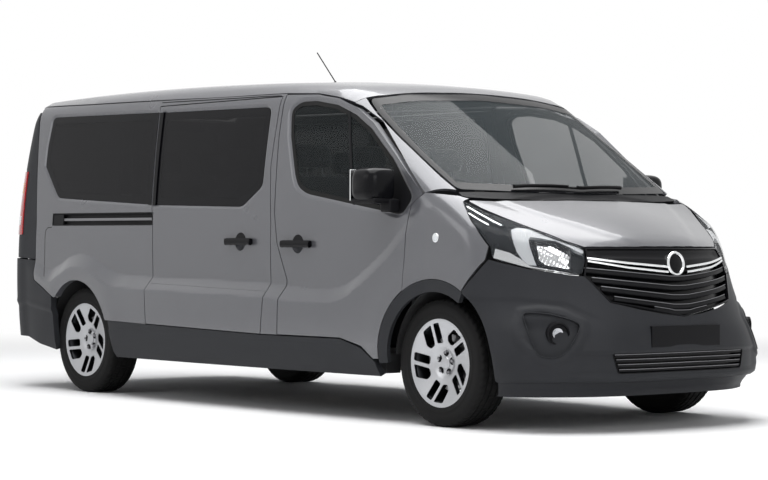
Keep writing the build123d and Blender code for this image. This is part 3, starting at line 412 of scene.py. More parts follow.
# %% Shader nodes by arithmetic
class Value:
    """A socket with +, -, *, ** and a few named functions; every result is a new node."""

    def __init__(self, tree, socket):
        self.tree, self.socket = tree, socket

    def math(self, operation, *others):
        return self.tree.node("ShaderNodeMath", {"operation": operation}, self, *others)

    def __add__(self, other):
        return self.math("ADD", other)

    def __sub__(self, other):
        return self.math("SUBTRACT", other)

    def __mul__(self, other):
        return self.math("MULTIPLY", other)

    def __pow__(self, other):
        return self.math("POWER", other)

    def sin(self):
        return self.math("SINE")

    def abs(self):
        return self.math("ABSOLUTE")

    def step(self, low, high):
        """0 below low, 1 above high, smooth between."""
        smoothstep = {"interpolation_type": "SMOOTHSTEP"}
        return self.tree.node("ShaderNodeMapRange", smoothstep, self, low, high, 0.0, 1.0)


class Tree:
    """A shader node tree; node makes and joins every node."""

    def __init__(self, owner):
        owner.use_nodes = True
        self.owner, self.nodes, self.links = owner, owner.node_tree.nodes, owner.node_tree.links

    def node(self, kind, props=None, *values, output=0, **named):
        made = self.nodes.new(kind)
        for key, value in (props or {}).items():
            setattr(made, key, value)
        for slot, value in [*enumerate(values), *((k.replace("_", " "), v) for k, v in named.items())]:
            self.join(made.inputs[slot], value)
        return Value(self, made.outputs[output])

    def join(self, socket, value):
        if isinstance(value, Value):
            self.links.new(value.socket, socket)
        elif isinstance(value, (tuple, list)) and socket.type == "RGBA":
            socket.default_value = (*value[:3], 1.0)
        else:
            socket.default_value = value

    def between(self, factor, first, second, output):
        """Shader first where factor is 0 and second where it is 1, sent to the output node."""
        mixed = self.node("ShaderNodeMixShader", None, factor, first, second)
        self.join(self.nodes[output].inputs["Surface"], mixed)


class Recipe(Tree):
    """One material: a Principled shader whose changing inputs are fed by Values."""

    def __init__(self, name, **fixed):
        self.material = bpy.data.materials.new(name)
        super().__init__(self.material)
        self.shader = self.nodes["Principled BSDF"]
        self.shader.inputs["Specular IOR Level"].default_value = 0.5
        for key, value in fixed.items():
            self.feed(key.replace("_", " "), value)

    def feed(self, name, value):
        self.join(self.shader.inputs[name], value)
        return self

    def place(self):
        """Object coordinates."""
        return self.node("ShaderNodeTexCoord", output="Object")

    def axes(self):
        """Object coordinates as three Values."""
        split = self.node("ShaderNodeSeparateXYZ", None, self.place()).socket.node
        return [Value(self, split.outputs[i]) for i in range(3)]

    def noise(self, scale, detail=2.0, rough=0.5):
        return self.node("ShaderNodeTexNoise", None, self.place(), Scale=scale, Detail=detail, Roughness=rough)

    def blend(self, factor, a, b):
        """Colour a where factor is 0, colour b where it is 1."""
        made = self.nodes.new("ShaderNodeMix")
        made.data_type = "RGBA"
        self.join(made.inputs[0], factor)
        self.join(made.inputs[6], a)
        self.join(made.inputs[7], b)
        return Value(self, made.outputs[2])

    def bump(self, height, strength=0.3, distance=0.001):
        self.feed("Normal", self.node("ShaderNodeBump", None, Strength=strength, Distance=distance, Height=height))
print("shader classes:", Value.__name__, Tree.__name__, Recipe.__name__)


# %% [markdown]
# ## Materials
# Each material has a slow variation of tone, a fine grain of its own and its own gloss. Pictures could do this too;
# noise by formula needs no file, fits any size and never repeats.


# %% The van's materials
def tinted(colour, share):
    """A colour made lighter or darker by a share, no channel above 1."""
    return tuple(min(c * share, 1) for c in colour)


def car_paint(name, colour, flake):
    """Metallic paint: tiny bright flakes under a clear coat; a faint, slightly darker and rougher film in patches and
    low down on the body.
    """
    r = Recipe(name, Metallic=0.30, Coat_Weight=0.45, Coat_Roughness=0.03)
    flakes = r.noise(2600.0, 1.0).step(0.52, 0.74)
    film = r.noise(5.0, 3.0) * 0.25 + (r.axes()[2] * -1.0 + 0.75).step(0.0, 0.55) * 0.18
    base = r.blend(flakes, colour, flake)
    r.feed("Base Color", r.blend(film, base, tuple(c * 0.8 + 0.02 for c in colour)))
    r.feed("Roughness", film * 0.2 + 0.26)
    return r.material


def plastic(name, colour, rough=0.5, grain=900.0, depth=0.0004, coat=0.0):
    """Moulded plastic: a fine pebble grain and slightly uneven gloss."""
    r = Recipe(name, Coat_Weight=coat, Coat_Roughness=0.05)
    r.shader.inputs["Specular IOR Level"].default_value = 0.12
    pebble = r.noise(grain, 2.0)
    tone = r.noise(7.0, 3.0)
    r.feed("Base Color", r.blend(tone, tinted(colour, 0.85), tinted(colour, 1.15)))
    r.feed("Roughness", tone * 0.12 + (rough - 0.06))
    r.bump(pebble, 0.35, depth)
    return r.material


def metal(name, colour, rough, scale=220.0):
    """Bare or painted metal: fine streaks of gloss along the surface."""
    r = Recipe(name, Metallic=1.0, Coat_Weight=0.0, Coat_Roughness=0.06)
    grain = r.noise(scale, 4.0, 0.6)
    r.feed("Base Color", r.blend(grain, tinted(colour, 0.88), tinted(colour, 1.08)))
    r.feed("Roughness", grain * 0.14 + (rough - 0.07))
    r.bump(grain, 0.06, 0.0003)
    return r.material


def tyre_rubber(name):
    """Tyre rubber: dull black with a fine grain and dusty patches."""
    r = Recipe(name)
    r.shader.inputs["Specular IOR Level"].default_value = 0.12
    dust = r.noise(14.0, 4.0)
    r.feed("Base Color", r.blend(dust, (0.006, 0.006, 0.0065), (0.013, 0.0128, 0.0125)))
    r.feed("Roughness", dust * 0.2 + 0.62)
    r.bump(r.noise(700.0, 2.0), 0.35, 0.0005)
    return r.material


def cloth(name, colour, thread):
    """Woven cloth: warp and weft as two crossed sine ridges."""
    r = Recipe(name, Roughness=0.92)
    x, y, z = r.axes()
    warp = (x * thread).sin().abs()
    weft = ((y + z) * thread).sin().abs()
    weave = warp * weft
    r.feed("Base Color", r.blend(weave, tinted(colour, 0.55), tinted(colour, 1.25)))
    r.feed("Sheen Weight", 0.3)
    r.bump(weave, 0.4, 0.0006)
    return r.material


def window_glass(name, colour, clear):
    """Tinted glass as a thin coloured film: mostly see-through where clear is high, always glossy."""
    r = Recipe(name, Roughness=0.02, IOR=1.22)
    r.shader.inputs["Specular IOR Level"].default_value = 0.5
    smear = r.noise(3.0, 2.0)
    r.feed("Base Color", r.blend(smear, colour, tinted(colour, 1.25)))
    r.feed("Alpha", smear * 0.05 + (1 - clear))
    return r.material


PAINT = car_paint("body_paint", (0.082, 0.083, 0.092), (0.215, 0.22, 0.235))
GREY_PLASTIC = plastic("grey_plastic", (0.024, 0.025, 0.028), 0.50)
BLACK_PLASTIC = plastic("black_plastic", (0.005, 0.005, 0.006), 0.50)
GLOSS_BLACK = plastic("gloss_black", (0.003, 0.003, 0.004), 0.22, 300.0, 0.00005)
RUBBER_SEAL = plastic("rubber_seal", (0.012, 0.012, 0.012), 0.7)
CHROME = metal("chrome", (0.78, 0.79, 0.80), 0.12)
ALLOY = metal("alloy", (0.40, 0.405, 0.42), 0.32, 160.0)
# A darker copy of the alloy: painted shade for the pocket walls and the barrel inside the wheels.
ALLOY_PAINTED_SHADE = metal("alloy_painted_shade", (0.030, 0.031, 0.034), 0.38, 160.0)
REFLECT = metal("lamp_reflector", (0.42, 0.43, 0.45), 0.16)
METAL_GREY = metal("rail_metal", (0.20, 0.20, 0.21), 0.4)
STEEL_BLACK = metal("chassis_steel", (0.05, 0.05, 0.052), 0.5)
CAST = metal("cast_metal", (0.16, 0.16, 0.165), 0.55)
BRAKE = metal("brake_disc", (0.40, 0.40, 0.41), 0.35, 500.0)
TRIM = plastic("cabin_trim", (0.012, 0.012, 0.013), 0.6, 700.0)
TRIM_LIGHT = plastic("cabin_trim_light", (0.045, 0.045, 0.046), 0.65, 700.0)
TYRE = tyre_rubber("tyre_rubber")
SEAT = cloth("seat_cloth", (0.040, 0.041, 0.046), 1500.0)
SCREEN = window_glass("windscreen_glass", (0.03, 0.04, 0.045), 0.72)
DOOR_GLASS = window_glass("door_glass", (0.012, 0.015, 0.016), 0.60)
DARK_GLASS = window_glass("privacy_glass", (0.006, 0.006, 0.007), 0.18)
LENS_CLEAR = window_glass("lamp_lens", (0.10, 0.11, 0.12), 0.90)
LENS_RED = plastic("red_lens", (0.36, 0.012, 0.014), 0.12, 400.0, 0.0002, 1.0)
LENS_AMBER = plastic("amber_lens", (0.55, 0.20, 0.03), 0.15, 400.0, 0.0002, 1.0)
LENS_WHITE = plastic("white_lens", (0.62, 0.64, 0.66), 0.15, 400.0, 0.0002, 1.0)
PLATE = plastic("plate_black", (0.003, 0.003, 0.004), 0.35, 500.0, 0.0001)
print("materials:", len(bpy.data.materials))


# %% [markdown]
# ## Outlines
# The CAD's own outlines: (y, z) seen from the side, (x, z) seen from the front or back, (x, y) in plan. They could be
# read off the CAD's meshes, but typed again their corners stay exact.


# %% Outlines, and points carried onto the form
def arc(centre, radius, first, last, count=24):
    """Side-view points on a wheel arch: centre + radius * (cos a, sin a), degrees from +Y towards +Z."""
    a = np.radians(np.linspace(first, last, count))
    return [tuple(p) for p in np.stack([centre + radius * np.cos(a), TYRE_R + radius * np.sin(a)], 1)]


LIP_FRONT = ARCH_R_FRONT + LIP_WIDTH
FRONT_DOOR = [
    (-322, 1836), (-318, 1596), (-349, 1150), (-388, 973), (-491, 763), (-482, 651), (-466, 452),
    (-1012, 452), (-1188, 412), (-1285, 345),
    *arc(ARCH_Y_FRONT, LIP_FRONT + 4, 1, 58, 8),
    (-1541, 1096), (-1560, 1180), (-1648, 1240), (-1383, 1467), (-1165, 1645), (-1008, 1732),
    (-825, 1792), (-614, 1824),
]
SLIDING_DOOR = [
    (967, 1821), (927, 1198), (902, 1074), (874, 625), (870, 473), (-303, 450), (-336, 648), (-313, 1088),
    (-265, 1419), (-281, 1825),
]
WINDSCREEN = [
    (804, 1263), (815, 1400), (812, 1560), (796, 1700), (768, 1788), (500, 1824), (0, 1844), (-500, 1824),
    (-768, 1788), (-796, 1700), (-812, 1560), (-815, 1400), (-804, 1263), (-400, 1252), (0, 1248), (400, 1252),
]
BONNET_EDGE = [
    (0, -2860), (598, -2860), (598, -2470), (647, -2411), (737, -2237), (848, -1990), (864, -1905),
    (838, -1862), (550, -1931), (300, -1970), (0, -1988),
    (-300, -1970), (-550, -1931), (-838, -1862), (-864, -1905), (-848, -1990), (-737, -2237),
    (-647, -2411), (-598, -2470), (-598, -2860),
]
GRILLE = [(497, 950), (541, 812), (452, 676), (0, 600), (-452, 676), (-541, 812), (-497, 950)]
LOWER_GRILLE = [(500, 414), (468, 306), (-468, 306), (-500, 414)]
REAR_DOOR = [
    (6, 604), (800, 604), (815, 900), (812, 1100), (800, 1400), (770, 1650), (728, 1852), (6, 1852),
]
REAR_GLASS = [(95, 1170), (730, 1170), (718, 1450), (690, 1720), (660, 1765), (95, 1770)]
CLADDING = [(1316, 476), (-303, 444), (-1012, 444), (-1190, 398), (-1300, 326), (-1318, 250), (1262, 250)]


def from_front(points, start=NOSE_CENTRE):
    """(x, z) -> points on the nose, or on the windscreen with start=CABIN."""
    return on_front(*np.array(points, float).T, start=start)[0]


def from_back(points):
    """(x, z) -> points on the tail."""
    return on_back(*np.array(points, float).T)[0]


def from_side(points):
    """(y, z) -> points on the left side."""
    return on_wing(*np.array(points, float).T)[0]


def from_plan(points):
    """(x, y) -> points on the bonnet, screen or roof."""
    return on_top(*np.array(points, float).T)[0]


def ring_of(p, centre=NOSE_CENTRE):
    """Points on the form -> (turn in degrees from -Y, z)."""
    return [tuple(q) for q in np.stack([np.degrees(np.arctan2(p[:, 0], centre - p[:, 1])), p[:, 2]], 1)]


def tail_of(p):
    """Points on the form -> (turn in degrees, z) round the tail's centre."""
    return ring_of(p, TAIL_CENTRE)


def settle(p, out=0.0):
    """Points moved along the form's gradient until they lie on it, then raised by out."""
    p = np.array(p, float)
    for _ in range(14):
        n = normals_at(p)
        p = p - n * form(*p.T)[:, None]
    return p + n * out, n


def even(line, count):
    """count points at equal spacing along a line of 3-D points."""
    line = np.array(line, float)
    run = np.concatenate([[0], np.cumsum(np.linalg.norm(np.diff(line, axis=0), axis=1))])
    at = np.linspace(0, run[-1], count)
    return np.stack([np.interp(at, run, line[:, k]) for k in range(3)], 1)


def strip(name, first, second, material, rows=40, columns=9, thick=4.0, sign=1):
    """A sheet between two 3-D lines on the form: P(s, t) = settle(first(s) (1 - t) + second(s) t)."""
    t = np.linspace(0, 1, columns)[None, :, None]
    grid = even(first, rows)[:, None] * (1 - t) + even(second, rows)[:, None] * t
    p, n = settle(grid.reshape(-1, 3))
    front = p.reshape(rows, columns, 3)
    back = (p - n * thick).reshape(rows, columns, 3)[:, ::-1]
    grid = np.concatenate([front, back], 1) * (sign, 1, 1)
    return grid_mesh(name, grid / 1000, material, False, True, True, 50)


def mirrored(half):
    """A closed outline from its +x half, listed from the centre line round to the centre line."""
    return [*half, *[(-a, b) for a, b in reversed(half)]]


def show(obj, body, nodes=()):
    """Rides the piece on its body and hides the CAD nodes it stands for."""
    for o in obj if isinstance(obj, list) else [obj]:
        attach(o, body)
    if nodes:
        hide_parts(*nodes)
    return obj


print("front door outline:", len(FRONT_DOOR), "points")


# %% [markdown]
# ## Beads and chamfers
# Bars, seals, chrome lines and window chamfers all follow a line on the body form,
# so one function carries a cross-section along such a line.


# %% Sections carried along lines
def section_along(name, mapping, line, section, material, sign=1, closed=False, step=25.0, capped=True, crease=35):
    """Cross-section (across, out) carried along a line (u, v): point = P + across * (N x T) + out * N."""
    path = refined(line, step, closed)
    p, n = mapping(path[:, 0], path[:, 1], sign)
    t = np.roll(p, -1, 0) - np.roll(p, 1, 0) if closed else np.gradient(p, axis=0)
    t /= np.maximum(np.linalg.norm(t, axis=1, keepdims=True), 1e-9)
    b = np.cross(n, t)
    b /= np.maximum(np.linalg.norm(b, axis=1, keepdims=True), 1e-9)
    s = np.array(section, float)
    grid = p[:, None] + b[:, None] * s[None, :, :1] + n[:, None] * s[None, :, 1:]
    return grid_mesh(name, grid / 1000, material, closed, True, capped and not closed, crease)


def grid_mesh(name, grid, material, wrap_rows=False, wrap_columns=False, capped=False, crease=35):
    """A surface from a rows x columns grid of points, joined round either way, its normals made consistent."""
    rows, columns = grid.shape[:2]
    i, j = np.meshgrid(np.arange(rows if wrap_rows else rows - 1), np.arange(columns if wrap_columns else columns - 1),
                       indexing="ij")
    i, j = i.ravel(), j.ravel()
    k, m = (i + 1) % rows, (j + 1) % columns
    faces = np.stack([i * columns + j, k * columns + j, k * columns + m, i * columns + m], 1).tolist()
    if capped:
        faces += [list(range(columns)), list(range((rows - 1) * columns, rows * columns))[::-1]]
    obj = new_mesh(name, grid.reshape(-1, 3), faces, None, material)
    outward(obj)
    obj.data.set_sharp_from_angle(angle=math.radians(crease))
    return obj


def outward(obj):
    """Merges doubled points and turns every face of a closed mesh outwards."""
    work = bmesh.new()
    work.from_mesh(obj.data)
    bmesh.ops.remove_doubles(work, verts=work.verts, dist=1e-6)
    bmesh.ops.recalc_face_normals(work, faces=work.faces)
    work.to_mesh(obj.data)
    work.free()
    return obj


def bar(width, height, foot):
    """Half-oval cross-section: across = -w/2 cos a, out = h sin a, with a foot below the surface."""
    a = np.linspace(0, math.pi, 7)
    top = np.stack([-width / 2 * np.cos(a), height * np.sin(a) ** 0.7], 1)
    return [(-width / 2, -foot), *map(tuple, top), (width / 2, -foot)]


def plank(width, low, high):
    """Rectangular cross-section between two heights."""
    return [(-width / 2, low), (-width / 2, high), (width / 2, high), (width / 2, low)]


def chamfer(name, mapping, outline, width, depth, material, sign=1):
    """A sloping frame round a window: from the outline, sunk by depth, out to the outline grown by width at the
    surface. Sink falls as depth * (1 - t)^1.6; the back follows 12 mm behind."""
    inner, outer = np.array(outline, float), np.array(grown(outline, width), float)
    count = [max(1, int(math.ceil(length / 22))) for length in np.linalg.norm(np.roll(outer, -1, 0) - outer, axis=1)]
    loops = []
    for loop in (inner, outer):
        loops.append(np.vstack([a + (b - a) * np.arange(n)[:, None] / n
                                for a, b, n in zip(loop, np.roll(loop, -1, 0), count)]))
    t = np.linspace(0, 1, 5)
    flat = loops[0][:, None] * (1 - t[None, :, None]) + loops[1][:, None] * t[None, :, None]
    p, n = mapping(flat[..., 0].ravel(), flat[..., 1].ravel(), sign)
    p, n = p.reshape(*flat.shape[:2], 3), n.reshape(*flat.shape[:2], 3)
    sink = depth * (1 - t) ** 1.6
    front = p - n * sink[None, :, None]
    back = p[:, ::-1] - n[:, ::-1] * (sink[::-1] + 12)[None, :, None]
    return grid_mesh(name, np.concatenate([front, back], 1) / 1000, material, True, True, False, 50)


print("points in a bar's section:", len(bar(10, 3, 2)))


# %% [markdown]
# ## Side panels
# The side of the body is one pressing with an opening for the sliding door. It could be cut into smaller sheets, but
# the real one has no joint there. Each window sits in a chamfer that turns up and catches the light.

# %% Side ring, sliding door and side windows
SIDES = ((1, "left"), (-1, "right"))
B_FRONT = [(-314, 1842), (-311, 1596), (-342, 1150), (-381, 973), (-484, 763), (-475, 651), (-459, 450)]
B_REAR = [(-310, 450), (-342, 648), (-319, 1088), (-271, 1419), (-287, 1831)]
SLIDE_BACK = [(973, 1827), (933, 1198), (908, 1074), (880, 625), (876, 470)]
SIDE_RING = [
    *B_FRONT, *B_REAR, *SLIDE_BACK, (1346, 480), *arc(ARCH_Y_REAR, ARCH_R_REAR, 158, 45, 24),
    (2010, 610), (2124, 661), (2276, 721), (2286, 749), (2291, 1106), (2374, 1629), (2420, 1880),
    (1800, 1870), (1044, 1860),
]
RAIL_SLOT = [(912, 1084), (912, 1158), (2090, 1158), (2090, 1084)]
QUARTER = rounded([(2240, 1806), (2259, 1600), (2255, 1478), (2054, 1266), (955, 1212), (990, 1786)], 34, only=(0, 3))
SLIDING = rounded([(908, 1209), (-10, 1189), (-194, 1307), (-195, 1366), (-193, 1749), (-160, 1771), (933, 1783)],
                  34, only=(1, 2, 4, 5))
GLASS_DEPTH = 11.0


def each_side(name, body, make, nodes=()):
    """make(name, sign) on both sides; body and nodes may hold {side}."""
    for sign, side in SIDES:
        show(make(f"{name}_{side}", sign), body.format(side=side), [n.format(side=side) for n in nodes])


def both(name, mapping, outline, material, body, nodes=(), slot=None, **more):
    """The same panel on both sides."""
    each_side(name, body, lambda label, sign: panel(label, mapping, outline, material, sign=sign, **more),
              nodes)


def both_lines(name, mapping, line, section, material, body, slot=None, **more):
    """The same carried section on both sides."""
    each_side(name, body, lambda label, sign: section_along(label, mapping, line, section, material, sign, **more),
              ())


def circle(u, v, radius, count=40):
    """A round outline."""
    return [(u + radius * math.cos(a), v + radius * math.sin(a)) for a in np.linspace(0, 2 * math.pi, count + 1)[:-1]]


FINE = (24, 11)
FRONT_GRIP, SLIDE_GRIP, CUP_R = (-582.0, 969.0), (-26.0, 981.0), 54.0
both("body_side", on_side, SIDE_RING, PAINT, "body", ["body_side_{side}"], "body_paint",
     holes=[grown(QUARTER, 20), RAIL_SLOT], thick=45, step=FINE)
both("sliding_door", on_side, SLIDING_DOOR, PAINT, "body", ["sliding_door_{side}"], "body_paint",
     holes=[grown(SLIDING, 20), circle(*SLIDE_GRIP, CUP_R)], thick=44, step=FINE)
WINDOWS = (("quarter", QUARTER), ("sliding", SLIDING))
for part, outline in WINDOWS:
    each_side(f"{part}_window_frame", "body",
              lambda label, sign: chamfer(label, on_side, outline, 20, GLASS_DEPTH, PAINT, sign), ())
for part, outline in WINDOWS:
    both(f"{part}_glass", on_side, outline, DARK_GLASS, "body", slot="dark_glass", sink=GLASS_DEPTH - 3, thick=5,
         step=60)
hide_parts("side_glass")
for part, outline in WINDOWS:
    both(f"{part}_glass_border", on_side, outline, GLOSS_BLACK, "body", slot="dark_glass",
         holes=[rounded(grown(outline, -46), 40)], sink=GLASS_DEPTH - 3.6, thick=2, step=60)
tell("sides")

# %% Sliding door rail
both("slide_rail_channel", on_side, grown(RAIL_SLOT, 3), BLACK_PLASTIC, "body", slot="black_plastic", sink=24, thick=6)
both_lines("slide_rail_edge", on_side, RAIL_SLOT, [(-4, -26), (-4, 0.6), (3, 0.6), (3, -26)], BLACK_PLASTIC, "body",
           "black_plastic", closed=True)
both_lines("slide_rail_track", on_side, [(930, 1120), (2075, 1120)], plank(16, -26, -6), METAL_GREY, "body",
           "chassis_steel")
both_lines("slide_rail_stop", on_side, [(1960, 1120), (2086, 1120)], plank(66, -26, -2), BLACK_PLASTIC, "body",
           "black_plastic")
tell("rail")

# %% [markdown]
# ## Front doors
# The door skin has the same ledge and chamfered window. A bar divides the glass, and a black corner piece carries
# the mirror.

# %% Front doors
DOOR_WINDOW = rounded([
    (-540, 1297), (-626, 1258), (-1478, 1132), (-1560, 1224), (-1366, 1432), (-1146, 1608), (-995, 1692),
    (-818, 1755), (-614, 1788), (-471, 1789), (-393, 1744), (-420, 1591), (-500, 1368),
], 40, only=(0, 1, 2, 3, 9, 10))
both("front_door", on_side, FRONT_DOOR, PAINT, "front_door_{side}", ["front_door_{side}"], "body_paint",
     holes=[grown(DOOR_WINDOW, 26), circle(*FRONT_GRIP, CUP_R)], thick=44, step=FINE)
each_side("door_window_frame", "front_door_{side}",
          lambda label, sign: chamfer(label, on_side, DOOR_WINDOW, 26, 13, PAINT, sign), ())
both("front_door_glass", on_side, grown(DOOR_WINDOW, -4), DOOR_GLASS, "front_door_{side}",
     ["front_door_glass_{side}"], "clear_glass", sink=13, thick=4, step=60)
both_lines("door_glass_seal", on_side, grown(DOOR_WINDOW, -9), plank(26, -20, -11), RUBBER_SEAL,
           "front_door_{side}", "black_plastic", closed=True)
both_lines("door_glass_divider", on_side, [(-930, 1716), (-1004, 1400), (-1062, 1184)], plank(20, -19, -9),
           BLACK_PLASTIC, "front_door_{side}", "black_plastic")
SAIL = [(-1330, 1158), (-1474, 1137), (-1550, 1222), (-1386, 1400)]
both("mirror_corner", on_side, SAIL, BLACK_PLASTIC, "front_door_{side}", slot="black_plastic", sink=10.5, thick=6,
     step=60)
tell("front doors")

# %% [markdown]
# ## Bonnet
# The lid could be drawn in plan or in front view. The plan is used, because its side and rear edges are a tapered
# block's trace on the form; the front edge is added from the front view. A crease rises towards the grille.

# %% Bonnet lid
NOSE_SPLIT = 960.0


def lid_edge(points):
    """Plan edge of the tapered lid: each point moved in by (1330 - z) tan 15, z being the surface above it."""
    inset = np.zeros((len(points), 1))
    for _ in range(6):
        moved = np.array(grown(points, -inset))
        inset = (1330 - from_plan(moved)[:, 2:3]) * math.tan(math.radians(15))
    return moved


BONNET_PLAN = lid_edge(BONNET_EDGE)
LID_SIDE = [tuple(p) for p in BONNET_PLAN[2:10]]
lid_front = from_front([(x, NOSE_SPLIT) for x in (494, 420, 330, 220, 110, 0)])
LID = mirrored([(0, BONNET_PLAN[10][1]), *LID_SIDE[::-1], *[(p[0], p[1] + 1.5) for p in lid_front]])


def bonnet_relief(x, y):
    """Height of the raised middle: a smooth step of 7 mm across a line that narrows towards the front."""
    edge = np.interp(y, (-2650, -2420, -2150, -1850), (90, 330, 520, 690))
    middle = np.clip((edge - np.abs(x)) / 60 + 0.5, 0, 1)
    return 7.0 * middle**2 * (3 - 2 * middle) * np.interp(y, (-2620, -2480), (0, 1))


bonnet = panel("bonnet_lid", on_top, LID, PAINT, step=(20, 16), thick=18, lift=bonnet_relief)
show(bonnet, "bonnet", ["bonnet"])
print("bonnet rear", LID[0], "front", LID[13])

# %% [markdown]
# ## Wings
# The wing runs from the headlamp over the wheel to the pillar's foot. Its arch lip is a separate grey moulding.

# %% Wings, arch lips and pillars
WING = [
    (-1893, 1196), (-1882, 1214), (-1840, 1228), (-1772, 1236), (-1660, 1247), (-1566, 1180), (-1547, 1096),
    *arc(ARCH_Y_FRONT, LIP_FRONT, 58, 120.6, 16), (-1972, 688), (-2124, 893), (-2127, 962), (-2048, 1061),
    (-1950, 1150),
]
both("wing", on_wing, WING, PAINT, "body", ["front_wings"], "body_paint", thick=26, step=(16, 10))
LIP_REGION = [*arc(ARCH_Y_FRONT, LIP_FRONT - 3, -2, 121.5, 30), *arc(ARCH_Y_FRONT, ARCH_R_FRONT, 121.5, -2, 34)]
both("arch_lip", on_wing, LIP_REGION, GREY_PLASTIC, "body", slot="dark_plastic", thick=27, step=(14, 14), sink=-1.5)

# The screen's side edge and the door's edge, from the foot of the pillar up to the roof.
screen_edge = from_front([(812, 1262), (823, 1330), (823, 1400), (821, 1480), (819, 1560), (812, 1630), (803, 1700),
                          (791, 1745), (776, 1790)], CABIN)
door_edge = from_side([(-1656, 1247), (-1598, 1294), (-1520, 1361), (-1390, 1475), (-1280, 1565), (-1171, 1653),
                       (-1090, 1697), (-1012, 1740), (-950, 1762)])
each_side("pillar", "body",
          lambda label, sign: strip(label, screen_edge, door_edge, PAINT, 44, 9, 14, sign=sign),
          ["windscreen_pillars"])
tell("wings")

# %% [markdown]
# ## Windscreen, cowl and wipers
# The glass has a black fired border; the wipers rest in a dark cowl behind the bonnet.

# %% Windscreen, cowl and wipers
SCREEN_OUT = rounded(grown(WINDSCREEN, -4), 30, only=(0, 4, 8, 12))
screen = panel("windscreen_glass", on_front, SCREEN_OUT, SCREEN, sink=1.5, thick=5, step=(40, 26))
show(screen, "body", ["windscreen"])
border = panel("windscreen_border", on_front, SCREEN_OUT, GLOSS_BLACK, holes=[rounded(grown(SCREEN_OUT, -38), 60)],
               sink=0.8, thick=0.6, step=(40, 26))
show(border, "body")
COWL = mirrored([(0, -1981), (300, -1963), (550, -1924), (800, -1858), (818, -1838), (806, -1800), (550, -1868),
                 (300, -1908), (0, -1927)])
cowl = panel("cowl", on_top, COWL, BLACK_PLASTIC, sink=5, thick=20, step=(20, 9),
             lift=lambda x, y: -7 * np.sin(np.clip((y + 1981) / 55, 0, 1) * math.pi))
show(cowl, "body", ["scuttle"])


def tube(name, line, radius, material, sides=10):
    """A round bar along a 3-D line: each ring lies across the line's tangent."""
    p = np.array(line, float)
    t = np.gradient(p, axis=0)
    t /= np.linalg.norm(t, axis=1, keepdims=True)
    a = np.cross(t, (0.31, 0.17, 0.93))
    a /= np.linalg.norm(a, axis=1, keepdims=True)
    b = np.cross(t, a)
    turn = np.linspace(0, 2 * math.pi, sides, endpoint=False)
    r = np.broadcast_to(np.asarray(radius, float), len(p))[:, None, None]
    grid = p[:, None] + r * (a[:, None] * np.cos(turn)[:, None] + b[:, None] * np.sin(turn)[:, None])
    return grid_mesh(name, grid / 1000, material, False, True, True, 60)


for name, pivot, reach_x in (("wiper_left", 330, 730), ("wiper_right", -470, 720)):
    x = np.linspace(pivot, pivot + (reach_x if pivot < 0 else -reach_x) * 0.98, 26)
    base = from_plan(np.stack([x, np.interp(np.abs(x), (0, 550, 800), (-1926, -1868, -1800)) + 18], 1))
    blade, _ = settle(base, 12)
    arm, _ = settle(base[:14], np.linspace(16, 22, 14)[:, None])
    show([tube(name + "_blade", blade, 5.5, BLACK_PLASTIC, 6), tube(name + "_arm", arm, np.linspace(11, 6, 14),
                                                                     BLACK_PLASTIC, 8)], "body")
tell("windscreen")

# %% [markdown]
# ## Roof and antenna
# The roof is one skin from the windscreen to the tail, with two faint ribs along it.

# %% Roof and antenna
roof_front = from_front([(0, 1846), (250, 1841), (500, 1828), (640, 1812), (768, 1794)], CABIN)
roof_side = from_side([(-948, 1766), (-825, 1799), (-614, 1832), (-320, 1847), (326, 1853), (1044, 1867),
                       (1800, 1877), (2416, 1887)])
roof_back = from_back([(760, 1866), (600, 1866), (400, 1866), (200, 1866), (0, 1866)])
roof_half = np.vstack([roof_front, roof_side, roof_back])
ROOF = [(a, b) for a, b in zip(np.degrees(np.arctan2(roof_half[:, 2] - 1500, roof_half[:, 0])), roof_half[:, 1])]
ROOF += [(180 - a, b) for a, b in reversed(ROOF[1:-1])]


def roof_ribs(turn, y):
    """Two ribs of 3 mm, one on each side, faded out before the ends."""
    rib = np.exp(-((np.abs(turn - 90) - 38) / 2.2) ** 2)
    return 3 * rib * np.interp(y, (-700, -450, 2200, 2400), (0, 1, 1, 0))


roof = panel("roof_skin", on_cross, ROOF, PAINT, step=(3.0, 45), thick=22, lift=roof_ribs)
show(roof, "body", ["roof"])
foot = []
for k, (height, size) in enumerate(((1940, 1.0), (1952, 0.96), (1962, 0.8), (1967, 0.5))):
    turn = np.linspace(0, 2 * math.pi, 20, endpoint=False)
    foot.append(np.stack([19 * size * np.cos(turn), 262 + 40 * size * np.sin(turn), np.full(20, height)], 1))
antenna_foot = grid_mesh("antenna_foot", np.array(foot) / 1000, BLACK_PLASTIC, False, True, True, 40)
run = np.linspace(0, 300, 60)[:, None]
whip = tube("antenna_whip", np.array((0, 258, 1958)) + run * (0, 0.69, 0.72),
            np.where(np.arange(60) < 8, 6.0, 3.4 + 0.6 * (np.arange(60) % 2)), BLACK_PLASTIC, 8)
show([antenna_foot, whip], "body")
tell("roof")

# %% [markdown]
# ## Front bumper
# One dark grained moulding round the nose. It could be cut in front view, but its ends run back along the sides,
# so it is drawn on the ring: (turn from straight ahead, height). Creases are raised with smooth steps.

